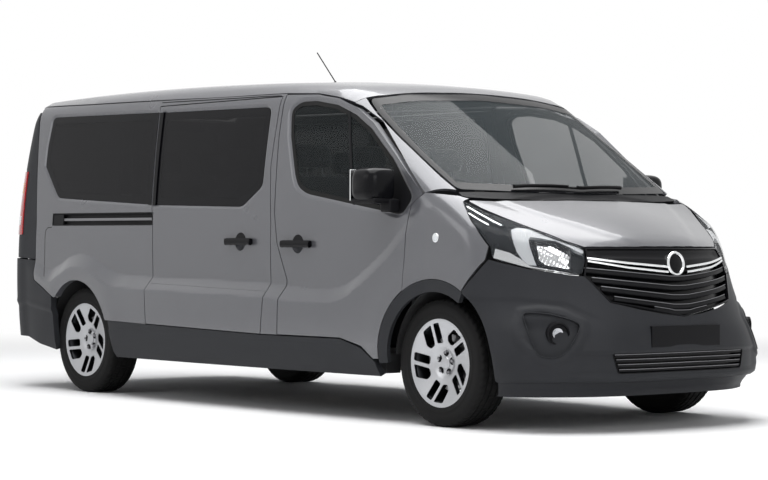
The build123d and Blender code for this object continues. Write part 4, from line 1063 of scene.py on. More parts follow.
# %% Front bumper skin
LAMP_LOW = [(541, 808), (600, 813), (763, 844), (870, 880)]
bumper_half = np.vstack([
    from_front(LAMP_LOW),
    from_side([(-2139, 893), (-2009, 727)]),
    from_side(arc(ARCH_Y_FRONT, ARCH_R_FRONT + 62, 121.5, 199, 16)),
])
bottom = [tuple(p) for p in ring_of(from_side([(-2180, 186)]))] + [(32, 186), (16, 186), (0, 186)]
EDGE_HALF = ring_of(bumper_half) + bottom
grille_low = ring_of(from_front([(541, 808), (452, 672), (300, 636), (150, 611), (0, 596)]))
BUMPER = mirrored([*grille_low[::-1], *EDGE_HALF[1:]])
FOG_RING = rounded([(45.6, 627), (38.2, 612), (31.0, 572), (31.9, 520), (34.6, 430), (37.4, 392), (41.6, 403)], 30,
                   only=(0, 2, 3, 4, 5, 6))
LOW_RING = ring_of(from_front(rounded(LOWER_GRILLE, 16)))


def fog_outline_distance(a, z):
    """Rough distance in mm outside the fog recess on the left (a > 0) or right, from its own centre."""
    ring = np.array(FOG_RING)
    centre = np.array((38.0, 515.0))
    scale = np.array((17.0, 1.0))
    u = (np.stack([np.abs(a), z], 1) - centre) * scale
    rim = (ring - centre) * scale
    turn, size = np.arctan2(rim[:, 1], rim[:, 0]), np.linalg.norm(rim, axis=1)
    order = np.argsort(turn)
    turn, size = turn[order], size[order]
    turn = np.concatenate([turn - 2 * math.pi, turn, turn + 2 * math.pi])
    edge = np.interp(np.arctan2(u[:, 1], u[:, 0]), turn, np.tile(size, 3))
    return np.linalg.norm(u, axis=1) - edge


def smooth(x):
    """3 x^2 - 2 x^3 between 0 and 1."""
    x = np.clip(x, 0, 1)
    return x * x * (3 - 2 * x)


def bumper_relief(a, z):
    """A 9 mm collar round each fog recess, a chin ledge below the lower grille and a crease below the lamps."""
    d = fog_outline_distance(a, z)
    collar = 9 * (1 - smooth((d - 26) / 20)) * smooth((d + 6) / 8)
    wide = 1 - smooth((np.abs(a) - 30) / 6)
    surround = -13 * smooth((424 - z) / 16) * smooth((z - 296) / 10) * wide
    chin = 7 * np.exp(-(((z - 280) / 13) ** 2)) * (1 - smooth((np.abs(a) - 44) / 8))
    under = -16 * smooth((262 - z) / 10)
    fold = np.interp(np.abs(a), (0, 26, 34, 46, 60), (560, 590, 668, 690, 690))
    shoulder = -5 * smooth((fold - z) / 22 + 0.5) * smooth((np.abs(a) - 22) / 10)
    return collar + surround + chin + under + shoulder


bumper = panel("bumper", on_ring, BUMPER, GREY_PLASTIC, holes=[FOG_RING, [(-a, b) for a, b in FOG_RING], LOW_RING],
               step=(0.75, 9), thick=5, lift=bumper_relief)
show(bumper, "body", ["front_bumper"])
print("bumper faces", len(bumper.data.polygons))

# %% Fog lamps
for sign, side in SIDES:
    back = panel(f"fog_recess_{side}", on_ring, FOG_RING, GREY_PLASTIC, sink=24, thick=4, step=(1.2, 18),
                 sign=sign, lift=lambda a, z: 20 * smooth((z - 545) / 50))
    wall = section_along(f"fog_wall_{side}", on_ring, FOG_RING, [(-1.5, -27), (-1.5, 8), (2.5, 8), (2.5, -27)],
                         GREY_PLASTIC, sign, closed=True, step=0.9)
    show([back, wall], "body")


def disc(name, centre, axis, rings, material, sides=36, ring=False):
    """A turned piece: rings of (radius, distance along axis) round a centre; ring closes the profile on itself."""
    axis = np.array(axis, float) / np.linalg.norm(axis)
    a = np.cross(axis, (0, 0, 1.0))
    a /= np.linalg.norm(a)
    b = np.cross(axis, a)
    turn = np.linspace(0, 2 * math.pi, sides, endpoint=False)
    rows = [np.array(centre, float) + axis * h + r * (a * np.cos(turn)[:, None] + b * np.sin(turn)[:, None])
            for r, h in rings]
    return grid_mesh(name, np.array(rows) / 1000, material, ring, True, not ring, 30)


for sign, side in SIDES:
    at = np.array((sign * 722, -2470, 516))
    look = (sign * 0.45, -0.89, -0.05)
    show(disc(f"fog_lamp_{side}", at, look, [(60, -20), (60, 14), (52, 17), (47, 6), (30, -2), (8, -6)], BLACK_PLASTIC),
         "body", ["front_lamps"])
    show(disc(f"fog_reflector_{side}", at, look, [(30, -2), (28, 3), (20, 0), (12, -3), (3, -4)], REFLECT), "body")
tell("fog lamps")

# %% [markdown]
# ## Headlamps
# A dark bowl with chrome lines, a white angled light guide and a square faceted reflector behind a clear lens.

# %% Headlamps
lamp_rim = [
    *ring_of(from_side([(-1889, 1200)])), (57.6, 1141), (43.7, 1059), (34.4, 993), (28.4, 954), (28.6, 884),
    (29.8, 812), (38.0, 836), (44.0, 853), (53.6, 896), (54.2, 958), (58.5, 1057), (62.8, 1147),
]
LAMP = rounded(lamp_rim, 14, only=(0, 4, 6, 9, 10))
LIGHT_GUIDE = [
    (48.9, 1054), (47.4, 1066), (43.7, 1060), (38.7, 1040), (33.2, 1000), (28.9, 962), (28.3, 934), (29.0, 929),
    (32.8, 968), (36.2, 995), (40.3, 1010), (43.4, 1016), (43.9, 1000), (43.4, 955), (42.2, 890), (41.7, 864),
    (43.7, 866), (45.5, 895), (47.1, 935), (48.2, 995),
]
REFLECTOR = [(42.0, 992), (36.2, 992), (32.4, 955), (31.9, 924), (32.4, 842), (34.2, 844), (39.3, 862), (41.2, 888)]
LAMP_STRIP = [(53.0, 952), (49.1, 931), (46.0, 898), (43.4, 861), (30.4, 817), (30.4, 808), (43.1, 848), (49.6, 883),
              (53.4, 903)]
CHROME_LINES = [
    [(63.6, 1178), (58.5, 1135), (51.8, 1078)],
    [(62.3, 1142), (59.0, 1112), (55.4, 1079)],
]


def facets(a, z):
    """The reflector's moulded facets: two crossed sawtooth waves and a central boss."""
    boss = 8 * np.exp(-((np.hypot((a - 35.0) * 14, z - 910) / 38) ** 2))
    return 4 * np.abs((a * 0.9 + z * 0.021) % 1 - 0.5) + 4 * np.abs((z * 0.03 - a * 0.33) % 1 - 0.5) + boss


SMOKED = [(62.6, 1120), (58.6, 1100), (52.4, 1062), (49.8, 1040), (48.6, 985), (47.6, 935), (50.0, 948),
          (53.2, 970), (58.0, 1062)]


def headlamp(sign, side):
    """One headlamp from the bowl at the back to the clear lens in front."""
    def sheet(name, outline, material, slot, **more):
        show(panel(f"{name}_{side}", on_ring, outline, material, sign=sign, **more), "body")

    def line(name, path, section, material, slot, **more):
        show(section_along(f"{name}_{side}", on_ring, path, section, material, sign, **more), "body")

    sheet("lamp_bowl", LAMP, GLOSS_BLACK, "black_plastic", sink=44, thick=4, step=(1.6, 20))
    line("lamp_wall", LAMP, [(-1, -48), (-1, -2), (1.6, -2), (1.6, -48)], GLOSS_BLACK, "black_plastic", closed=True,
         step=1.1)
    sheet("light_guide", LIGHT_GUIDE, LENS_WHITE, "lamp_clear", sink=9, thick=22, step=(0.8, 10),
          lift=lambda a, z: 2.5 * np.abs((a * 0.8 + z * 0.012) % 1 - 0.5))
    sheet("lamp_reflector", REFLECTOR, CHROME, "lamp_clear", sink=30, thick=6, step=(0.35, 5), lift=facets)
    sheet("lamp_strip", LAMP_STRIP, CHROME, "lamp_clear", sink=8, thick=16, step=(1.0, 8),
          lift=lambda a, z: 3 * np.abs((a * 0.35) % 1 - 0.5))
    for k, path in enumerate(CHROME_LINES):
        line(f"lamp_line_{k}", path, plank(11 - 3 * k, -26, -8), CHROME, "lamp_clear", step=0.8)
    line("lamp_frame", REFLECTOR, plank(11, -34, -7), GLOSS_BLACK, "black_plastic", closed=True, step=0.6)
    sheet("lamp_smoked", SMOKED, GLOSS_BLACK, "black_plastic", sink=16, thick=3, step=(1.0, 14))
    sheet("lamp_lens", LAMP, LENS_CLEAR, "lamp_clear", sink=0.5, thick=2.5, step=(1.6, 20))


for sign, side in SIDES:
    headlamp(sign, side)
tell("headlamps")

# %% [markdown]
# ## Grilles
# Bars that bow in a shallow V, carried along the nose; the chrome pair dips to a plain round badge.

# %% Upper grille and badge
GRILLE_RING = ring_of(from_front(refined(GRILLE, 40)))
show(panel("grille_back", on_ring, GRILLE_RING, GLOSS_BLACK, sink=46, thick=4, step=(1.6, 20)), "body", ["grilles"])
show(section_along("grille_rim", on_ring, GRILLE_RING, [(-3, -48), (-3, 2), (4, 2), (6, -4), (6, -48)], GLOSS_BLACK,
                   closed=True, step=1.2), "body")


def nose_line(points):
    """A line over the nose from (x, z) points on one side, mirrored to the other."""
    half = ring_of(from_front(points))
    return [(-a, b) for a, b in reversed(half)][:-1] + half


def grille_bars(name, row, line, section, rise, painted_highlight_section):
    """A bar carried along a line over the nose, and a thin metal-grey lip that stands rise above the line: a painted
    highlight on the bar's upper edge.
    """
    # The metal-grey lip on each black bar is a painted highlight along its upper edge.
    made = [section_along(f"{name}_{row}", on_ring, line, section, BLACK_PLASTIC, step=1.2),
            section_along(f"{name}_lip_{row}", on_ring, [(a, b + rise) for a, b in line], painted_highlight_section, METAL_GREY,
                          step=1.2)]
    show(made, "body")


# One bar's section; then each bar's z in the middle, z at its end and x at its end.
BAR = [(-11.5, -40), (-11.5, -10), (-8, -6), (8, -6), (11.5, -10), (11.5, -15), (-4, -40)]
BAR_HEIGHTS = [(796, 842, 536), (747, 792, 512), (698, 746, 478), (649, 694, 425), (618, 640, 200)]
for row, (middle, outer, end) in enumerate(BAR_HEIGHTS):
    line = nose_line([(0, middle), (60, middle + 1), (end * 0.5, middle + (outer - middle) * 0.40), (end, outer)])
    grille_bars("grille_bar", row, line, BAR, 12, plank(3.2, -14, -3.5))
header = panel("grille_header", on_ring,
               ring_of(from_front([(496, 946), (505, 905), (300, 884), (130, 868), (0, 864), (-130, 868), (-300, 884),
                                   (-505, 905), (-496, 946), (-250, 950), (0, 950), (250, 950)])),
               BLACK_PLASTIC, sink=6, thick=10, step=(1.2, 8),
               lift=lambda a, z: -8 * smooth((z - 900 + np.abs(a) * -0.4) / 8) * smooth((938 - z) / 6)
               * (1 - smooth((np.abs(a) - 24) / 1.5)))
show(header, "body")
CHROME_PAIR = (("upper", [(72, 855), (116, 859), (308, 875), (512, 900)], bar(13, 8, 20)),
               ("lower", [(72, 829), (122, 833), (314, 852), (512, 886)], bar(12, 7, 20)))
for sign, side in SIDES:
    for row, line, section in CHROME_PAIR:
        show(section_along(f"grille_chrome_{row}_{side}", on_ring, ring_of(from_front(line)), section, CHROME, sign,
                           step=1.0), "body")
badge_at, badge_axis = np.array((0, -2606, 872)), (0, -1, 0.12)
show([disc("badge_ring", badge_at, badge_axis, [(66, -40), (66, 9), (62, 15), (54, 15), (50, 9), (50, -40)], CHROME,
           48, ring=True),
      disc("badge_face", badge_at, badge_axis, [(51, -30), (51, 6), (41, 9), (14, 11), (2, 11)], GLOSS_BLACK, 48)],
     "body")
tell("grille")

# %% Lower grille and front plate
show(panel("lower_grille_back", on_ring, LOW_RING, GLOSS_BLACK, sink=52, thick=4, step=(2, 20)), "body")
show(section_along("lower_grille_wall", on_ring, LOW_RING, [(-2, -54), (-2, -11), (3, -11), (3, -54)], BLACK_PLASTIC,
                   closed=True, step=1.2), "body")
for row in range(4):
    z, end = 324 + row * 26, 462 + row * 8
    grille_bars("lower_bar", row, nose_line([(0, z), (end * 0.5, z), (end, z)]), plank(13, -48, -16), 6,
                plank(3, -22, -14))


def block(name, low, high, material, round_by=6.0):
    """A box with rounded edges, from its two corners in mm."""
    work = bmesh.new()
    bmesh.ops.create_cube(work, size=1.0)
    size, centre = np.array(high, float) - low, (np.array(high, float) + low) / 2
    for v in work.verts:
        v.co = Vector((np.array(v.co) * size + centre) / 1000)
    bmesh.ops.bevel(work, geom=list(work.edges), offset=round_by / 1000, segments=4, profile=0.6,
                    affect="EDGES")
    mesh = bpy.data.meshes.new(name)
    work.to_mesh(mesh)
    work.free()
    mesh.polygons.foreach_set("use_smooth", [True] * len(mesh.polygons))
    mesh.set_sharp_from_angle(angle=math.radians(40))
    mesh.materials.append(material)
    return linked(name, mesh)


show(block("front_plate", (-260, -2694, 439), (260, -2660, 550), PLATE, 3), "body")
tell("lower grille")

# %% [markdown]
# ## Wheels
# The face is one triangulated disc with ten pockets, dished by a profile of the radius, so pockets, spokes and
# plates share one surface. Barrel, tyre and brake are turned.

# %% Wheels
LEAN = {"narrow": [(2.4, 216), (14.6, 216), (17.5, 108), (-7.0, 112)],
        "wide": [(-3.0, 216), (-22.5, 214), (-37.5, 152), (-35.0, 120), (-17.0, 114)]}
FACE_PROFILE = [(0, 60), (60, 60), (84, 70), (150, 84), (205, 97), (224, 101), (236, 102)]


def pockets(first):
    """Ten pocket outlines in the wheel's plane: two beside each of five thin leaning spokes."""
    out = []
    for k in range(5):
        for shape in LEAN.values():
            a = np.radians([first + 72 * k + d for d, _ in shape])
            r = np.array([radius for _, radius in shape])
            out.append(rounded(np.stack([r * np.sin(a), r * np.cos(a)], 1), 12))
    return out


def wheel_plane(x, y, sign):
    """Mapping for panel: (forward, up) in the wheel's plane -> the dished face, its normal from the profile's slope."""
    radius, height = np.array(FACE_PROFILE, float).T

    def mapping(u, v, _):
        r = np.maximum(np.hypot(u, v), 1e-6)
        w = np.interp(r, radius, height)
        slope = (np.interp(r + 3, radius, height) - np.interp(r - 3, radius, height)) / 6
        p = np.stack([x + sign * w, y - u, TYRE_R + v], 1)
        n = np.stack([np.full_like(r, sign), slope * u / r, -slope * v / r], 1)
        return p, n / np.linalg.norm(n, axis=1, keepdims=True)

    return mapping


def turned(name, x, y, sign, profile, material, sides=96, ring=True):
    """A piece turned about the wheel's axle from (radius, outward) pairs."""
    return disc(name, (x, y, TYRE_R), (sign, 0, 0), profile, material, sides, ring)


CIRCLE = np.radians(np.arange(0, 360, 5))
FACE_ROUND = [tuple(p) for p in np.stack([236 * np.cos(CIRCLE), 236 * np.sin(CIRCLE)], 1)]
TYRE_PROFILE = [
    (-96, 224), (-101, 232), (-103, 246), (-106, 262), (-105, 264), (-107, 282), (-106.5, 300), (-104, 314),
    (-102, 316), (-98, 326), (-91, 335), (-84, 338.6), (-74, 339.4), (-64, 339.8), (-62, 332), (-55, 332),
    (-53, 339.9), (-28, 340), (-26, 332), (-19, 332), (-17, 340), (17, 340), (19, 332), (26, 332), (28, 340),
    (53, 339.9), (55, 332), (62, 332), (64, 339.8), (74, 339.4), (84, 338.6), (91, 335), (98, 326), (102, 316),
    (104, 314), (106.5, 300), (107, 282), (105, 264), (106, 262), (103, 246), (101, 232), (96, 224),
]


def tyre_piece(name, x, y):
    """Tyre: the profile turned in 288 steps, with slanted cuts in the tread every fifth step."""
    w, r = np.array(TYRE_PROFILE).T
    k = np.arange(288)[:, None]
    slant = np.abs(w)[None] * 0.12
    cut = ((k + slant) % 6 < 1.2) & (np.abs(w)[None] > 28) & (np.abs(w)[None] < 93)
    middle = ((k + w[None] * 0.1) % 12 < 1.2) & (np.abs(w)[None] < 18)
    radius = r[None] - 5.5 * (cut | middle) * (r[None] > 332)
    turn = k * math.pi / 144
    grid = np.stack([np.broadcast_to(x + w[None], radius.shape), y + radius * np.sin(turn),
                     TYRE_R + radius * np.cos(turn)], 2)
    return grid_mesh(name, grid / 1000, TYRE, True, True, False, 35)


def wheel(end, side, sign, x, y, first):
    """Rim, tyre and brake disc of one wheel."""
    tag = f"{end}_{side}"
    body = f"wheel_{tag}"
    holes = pockets(first)
    plane = wheel_plane(x, y, sign)
    face = panel(f"rim_face_{tag}", plane, FACE_ROUND, ALLOY, holes=holes, step=9, thick=3.5)
    # The pocket walls and the barrel take the darker alloy copy: painted shade inside the wheel.
    depth = panel(f"rim_depth_{tag}", plane, [tuple(0.89 * np.array(p)) for p in FACE_ROUND], ALLOY_PAINTED_SHADE,
                  holes=[grown(h, 1.5) for h in holes], step=14, thick=26, sink=3.0)
    barrel = turned(f"rim_barrel_{tag}", x, y, sign,
                    [(237, 90), (237, 99), (228, 97), (219, 90), (210, 60), (204, -60), (214, -90), (230, -96),
                     (222, -97), (200, -70), (196, 60), (208, 86)], ALLOY_PAINTED_SHADE)
    cap = turned(f"rim_cap_{tag}", x, y, sign, [(34, 54), (34, 63), (31, 66), (12, 68), (1, 68)], ALLOY, 40,
                 ring=False)
    bolts = []
    for k in range(5):
        a = math.radians(first + 24 + 72 * k)
        spot = (x + sign * 57, y - 57 * math.sin(a), TYRE_R + 57 * math.cos(a))
        # A gloss black disc round each bolt: painted shade of the bolt's recess.
        bolts.append(disc(f"rim_bolt_well_{k}_{tag}", spot, (sign, 0, 0),
                          [(21, 0), (21, 4.6), (18.5, 4.8), (17, 3.6), (2, 3.4)], GLOSS_BLACK, 28))
        bolts.append(disc(f"rim_bolt_{k}_{tag}", spot, (sign, 0, 0), [(9.5, 2), (9.5, 12), (7, 14), (1, 14)],
                          METAL_GREY, 6))
    show(face, body, [f"rim_{tag}"])
    show([depth, barrel, cap, *bolts], body)
    show(tyre_piece(f"tyre_{tag}", x, y), body, [f"tyre_{tag}"])
    valve = tube(f"valve_{tag}", [(x + sign * 96, y - 150, TYRE_R + 148), (x + sign * 110, y - 141, TYRE_R + 139)], 4,
                 BLACK_PLASTIC, 8)
    show(valve, body)
    hold = f"knuckle_{side}" if end == "front" else "body"
    rotor = turned(f"brake_disc_{tag}", x, y, sign, [(46, 20), (150, 20), (150, -6), (46, -6)], BRAKE, 64)
    show(rotor, body)
    caliper = block(f"brake_caliper_{tag}", (x + sign * 7 - 32, y + 85, TYRE_R - 60),
                    (x + sign * 7 + 32, y + 165, TYRE_R + 90), CAST, 14)
    show(caliper, hold)


for sign, side in SIDES:
    wheel("front", side, sign, sign * 807.5, AXLE_FRONT, -18.5)
    wheel("rear", side, sign, sign * 814.0, AXLE_REAR, -35.0)
tell("wheels")

# %% [markdown]
# ## Side details
# The two rear windows read as one dark band, so gloss strips close the gap between them. A handle is a bar over a
# round cup; a gloss black half-disc over the cup's upper half is painted shade.

# %% Window bands, cladding and door handles
for part, outline in (("door", [(893, 1206), (923, 1202), (960, 1784), (922, 1784)]),
                      ("body", [(937, 1206), (972, 1208), (1004, 1784), (972, 1784)])):
    both(f"band_{part}", on_side, outline, GLOSS_BLACK, "body", slot="dark_glass", sink=-1.2, thick=5, step=60)
both("cladding", on_side, CLADDING, GREY_PLASTIC, "body", ["sill_cladding"], "dark_plastic", thick=36, step=(40, 12),
     lift=lambda y, z: 6 * smooth((z - 258) / 30) * smooth((430 - z) / 10))
both_lines("quarter_groove", on_side,
           [(2096, 1070), (2146, 1068), (2170, 1050), (2176, 1010), (2172, 800), (2150, 745)],
           plank(5, -2, 0.35), BLACK_PLASTIC, "body", "black_plastic", step=12)
both_lines("roof_gap", on_side, [(-268, 1832), (-120, 1836), (500, 1842), (968, 1848)], plank(7, -2, 0.4),
           BLACK_PLASTIC, "body", "black_plastic")
both_lines("swage", on_side, [(-340, 698), (0, 704), (400, 714), (860, 723)], bar(9, 2.2, 2), PAINT, "body",
           "body_paint")


def handle(name, body, centre, half, sign):
    """A bowl sunk (1 - r^2) behind the skin, a gloss black half-disc over its upper half as painted shade, and a bar
    whose face stands 31 mm out.
    """
    y, z = centre
    bowl = panel(f"{name}_bowl", on_side, circle(y, z, CUP_R + 0.5), PAINT, sign=sign, step=9, thick=3,
                 lift=lambda u, v: -19 * np.clip(1 - ((u - y) ** 2 + (v - z) ** 2) / CUP_R**2, 0, 1) ** 0.7)
    # Painted shade: a gloss black half-disc, a little proud of the skin, covers the cup's upper half where shade falls.
    arch = [(y + 53 * math.cos(a), z + 53 * math.sin(a)) for a in np.linspace(0, math.pi, 24)]
    painted_shade = panel(f"{name}_hood", on_side, arch, GLOSS_BLACK, sign=sign, sink=-0.8, thick=5, step=30)
    grip = section_along(f"{name}_bar", on_side, [(y - half, z - 2), (y - half + 16, z), (y + half - 16, z),
                                                  (y + half, z - 2)],
                         [(-17, 8), (-21, 15), (-19, 26), (-9, 31), (9, 31), (19, 26), (21, 15), (17, 8)],
                         GLOSS_BLACK, sign, step=14, crease=50)
    feet = [section_along(f"{name}_foot_{k}", on_side, [(a, z), (b, z)], plank(28, -6, 14), GLOSS_BLACK, sign)
            for k, (a, b) in enumerate(((y - half + 3, y - 60), (y + 60, y + half - 3)))]
    show(bowl, body)
    show([painted_shade, grip, *feet], body)


for sign, side in SIDES:
    handle(f"front_handle_{side}", f"front_door_{side}", FRONT_GRIP, 132, sign)
    handle(f"slide_handle_{side}", "body", SLIDE_GRIP, 124, sign)
print("handles stand out to", round(float(on_side(np.array([0.0]), np.array([981.0]))[0][0][0]) + 31), "mm")

# %% [markdown]
# ## Mirrors
# A housing lofted outwards through rounded rectangles, with a mirror glass in its rear face, on a short arm.


# %% Mirrors and side repeaters
def superellipse(count, power=4.0):
    """Unit rounded-square outline: sign(c) |c|^(2/p), sign(s) |s|^(2/p)."""
    a = np.linspace(0, 2 * math.pi, count, endpoint=False)
    c, s = np.cos(a), np.sin(a)
    return np.sign(c) * np.abs(c) ** (2 / power), np.sign(s) * np.abs(s) ** (2 / power)


MIRROR_IN, MIRROR_REACH = 964, 176


def mirror_shell(name, material, sign):
    """Housing from MIRROR_IN outwards over MIRROR_REACH: its size falls off as (1 - s^5)^(1/4)."""
    s = np.linspace(0, 1, 18)
    c, d = superellipse(48)
    size = (1 - (s * 0.99) ** 5) ** 0.25 * np.interp(s, (0, 0.12, 1), (0.80, 0.98, 1.0))
    depth = np.where(c < 0, 112, 96)
    y = -1362 + size[:, None] * (depth * c)[None]
    z = 1290 + size[:, None] * (98 * d)[None]
    x = np.broadcast_to(sign * (MIRROR_IN + MIRROR_REACH * s)[:, None], y.shape)
    return grid_mesh(name, np.stack([x, y, z], 2) / 1000, material, False, True, True, 40)


def across_side(name, sign, x0, x1, low, high, material, round_by):
    """A rounded block between two distances from the middle, on one side."""
    first, last = sorted((sign * x0, sign * x1))
    return block(name, (first, *low), (last, *high), material, round_by)


for sign, side in SIDES:
    body = f"front_door_{side}"
    show([mirror_shell(f"mirror_shell_{side}", GLOSS_BLACK, sign),
          across_side(f"mirror_belt_{side}", sign, 962, 1116, (-1464, 1190), (-1268, 1218), BLACK_PLASTIC, 10),
          across_side(f"mirror_arm_{side}", sign, 940, 1012, (-1470, 1144), (-1388, 1214), BLACK_PLASTIC, 12)],
         body)
    show(across_side(f"mirror_glass_{side}", sign, 986, 1122, (-1270, 1206), (-1262, 1374), CHROME, 2), body)
    spot, look = on_wing(np.array([-1779.0]), np.array([1006.0]), sign)
    show([disc(f"repeater_{side}", spot[0], look[0], [(21, -6), (21, 2.5), (18, 5), (2, 6)], LENS_WHITE, 28),
          disc(f"repeater_rim_{side}", spot[0], look[0], [(25, -6), (25, 2), (21, 3), (20, -6)], CHROME, 28,
               ring=True)], "body")
tell("mirrors")

# %% [markdown]
# ## Tail
# Two glazed doors, corner posts with tall lamps, and a stepped bumper, all drawn on the form's tail. The corner posts
# are body colour, drawn in dark grey plastic as painted shade.

# %% Rear doors, corner posts and lamps
REAR_PANE = rounded(REAR_GLASS, 36)
both("rear_door", on_back, REAR_DOOR, PAINT, "rear_door_{side}", ["rear_door_{side}"], "body_paint",
     holes=[grown(REAR_PANE, 16)], thick=44, step=(14, 16),
     lift=lambda x, z: -7 * smooth((x - 60) / 20) * smooth((700 - x) / 30) * smooth((z - 800) / 20)
     * smooth((1090 - z) / 20))
each_side("rear_window_frame", "rear_door_{side}",
          lambda label, sign: chamfer(label, on_back, REAR_PANE, 16, 9, BLACK_PLASTIC, sign), ())
both("rear_glass", on_back, REAR_PANE, DARK_GLASS, "rear_door_{side}", ["rear_door_glass_{side}"], "dark_glass",
     sink=6, thick=5, step=50)
LAMP_FRONT, LAMP_REAR = 116.5, tail_of(from_back([(806, 1446), (819, 1250), (819, 1022)]))
TAIL_LENS = [(LAMP_FRONT, 1022), (LAMP_FRONT + 1.5, 1446), *LAMP_REAR]
CORNER = [*tail_of(from_side([(2295, 860), (2295, 1106), (2381, 1629), (2428, 1846)])),
          *tail_of(from_back([(734, 1846), (752, 1740), (776, 1652), (805, 1455), (821, 1250), (821, 960),
                              (819, 876)]))]
# Painted shade: the body-coloured rear corners are drawn in dark grey plastic, as they look in shade.
both("corner_post", on_tail, CORNER, GREY_PLASTIC, "body", ["rear_corners"], "dark_plastic", thick=34,
     step=(1.2, 18), sink=1.0,
     lift=lambda a, z: -3 * smooth((a - LAMP_FRONT) / 0.6) * smooth((z - 1018) / 6) * smooth((1450 - z) / 6))
both("tail_lens", on_tail, TAIL_LENS, LENS_RED, "body", ["tail_lamps"], "lamp_red", sink=-5, thick=14, step=(1.2, 18))
both("lamp_amber", on_tail, [(118.5, 1300), (119, 1372), (126.0, 1372), (125.8, 1300)], LENS_AMBER, "body",
     slot="lamp_red", sink=-6.2, thick=4, step=(1.5, 40))
both("lamp_reverse", on_tail, [(118.3, 1086), (118.3, 1146), (125.6, 1146), (125.6, 1086)], LENS_WHITE, "body",
     slot="lamp_clear", sink=-6.2, thick=4, step=(1.5, 40))
tell("rear doors")

# %% Rear bumper, plate and hinges
SHIFT_BACK = 15.0
side_line = [(2294, 851), (2292, 749), (2283, 718), (2128, 655), (2040, 620), (2040, 262), (2240, 292), (2420, 338)]
side_ring = tail_of(from_side([(y - SHIFT_BACK, z) for y, z in side_line]))
back_ring = tail_of(from_back([(804, 592), (829, 700), (838, 866)]))
TAIL_HALF = [(180.0, 592), *back_ring, *side_ring, (130.0, 345), (180.0, 345)]
TAIL_BUMPER = TAIL_HALF + [(360 - a, b) for a, b in TAIL_HALF[-2:0:-1]]


def tail_relief(a, z):
    """The middle stands 32 mm out, the part below the step 8 mm in; the step rises from 514 to 562 mm rearwards."""
    turn = 180 - np.abs(a - 180)
    step = 514 + 48 * np.clip((turn - 90) / 22, 0, 1)
    return (32 * smooth((turn - 122) / 20) - 8 * smooth((step - z) / 12) + 3 * smooth((z - step - 4) / 10)
            * smooth((step + 34 - z) / 10))


show(panel("rear_bumper_skin", on_tail, TAIL_BUMPER, GREY_PLASTIC, step=(1.6, 12), thick=40, shift=(0, SHIFT_BACK, 0),
           lift=tail_relief), "body", ["rear_bumper"])
show([block("rear_plate", (60, 2636, 640), (580, 2657, 751), PLATE, 3),
      block("plate_light_bar", (110, 2622, 768), (530, 2662, 800), GLOSS_BLACK, 8),
      block("rear_handle", (24, 2636, 836), (150, 2666, 866), GLOSS_BLACK, 8)], "rear_door_left")
show(section_along("brake_light_high", on_back, [(40, 1815), (300, 1815)], plank(24, -4, 5), LENS_RED),
     "rear_door_left")
for sign, side in SIDES:
    for k, (x, z) in enumerate(((790, 720), (790, 1120), (764, 1600))):
        spot = from_back([(x, z)])[0] * (sign, 1, 1)
        show(block(f"rear_hinge_{k}_{side}", tuple(spot - (22, 16, 30)), tuple(spot + (22, 7, 30)), PAINT, 7),
             f"rear_door_{side}")
tell("rear bumper")

# %% [markdown]
# ## Seats
# Cushions are crowned closed forms: a rounded-square section that shrinks towards both ends, swollen between sewn
# channels. A cloth simulation was the other way; the sewn shape is drawn straight away because the seats are mostly
# seen through dark glass.


# %% Seats and benches
def cushion(name, centre, along, up, size, crown, seams):
    """Padded form. In its own axes: x = w/2 t, y = d/2 c e, z = h/2 s e^0.7 + crown (1 - c^2)(1 - t^2) - grooves,
    with e = (1 - |t|^9)^(1/3); each groove is 9 mm deep and Gaussian across a seam."""
    width, depth, height = size
    t = np.linspace(-1, 1, 121)[:, None]
    c, s = (v[None] for v in superellipse(72, 3.4))
    end = np.clip(1 - np.abs(t) ** 9, 0, 1) ** (1 / 3)
    pull = 1 - 0.025 * (1 - t**2) * np.abs(s)
    groove = sum(np.exp(-(((width / 2 * t) - x) / 9) ** 2) for x in seams) if len(seams) else 0 * t
    cross = sum(np.exp(-((depth / 2 * c - y) / 8) ** 2) for y in (-depth * 0.17, depth * 0.17))
    swell = crown * (1 - c**2) * (1 - (t * 0.97) ** 2) - 9 * groove - 4 * cross * (np.abs(t) < 0.93)
    x = width / 2 * t * pull
    y = depth / 2 * c * end * (1 - 0.02 * (1 - s**2))
    z = height / 2 * s * end**0.7 + swell * (s > 0) * np.abs(s) * end
    along, up = np.array(along, float), np.array(up, float)
    right = np.cross(along, up)
    x = np.broadcast_to(x, y.shape)
    grid = np.array(centre, float) + x[..., None] * right + y[..., None] * along + z[..., None] * up
    made = grid_mesh(name, grid / 1000, SEAT, False, True, True, 80)
    show(made, "body")
    return made


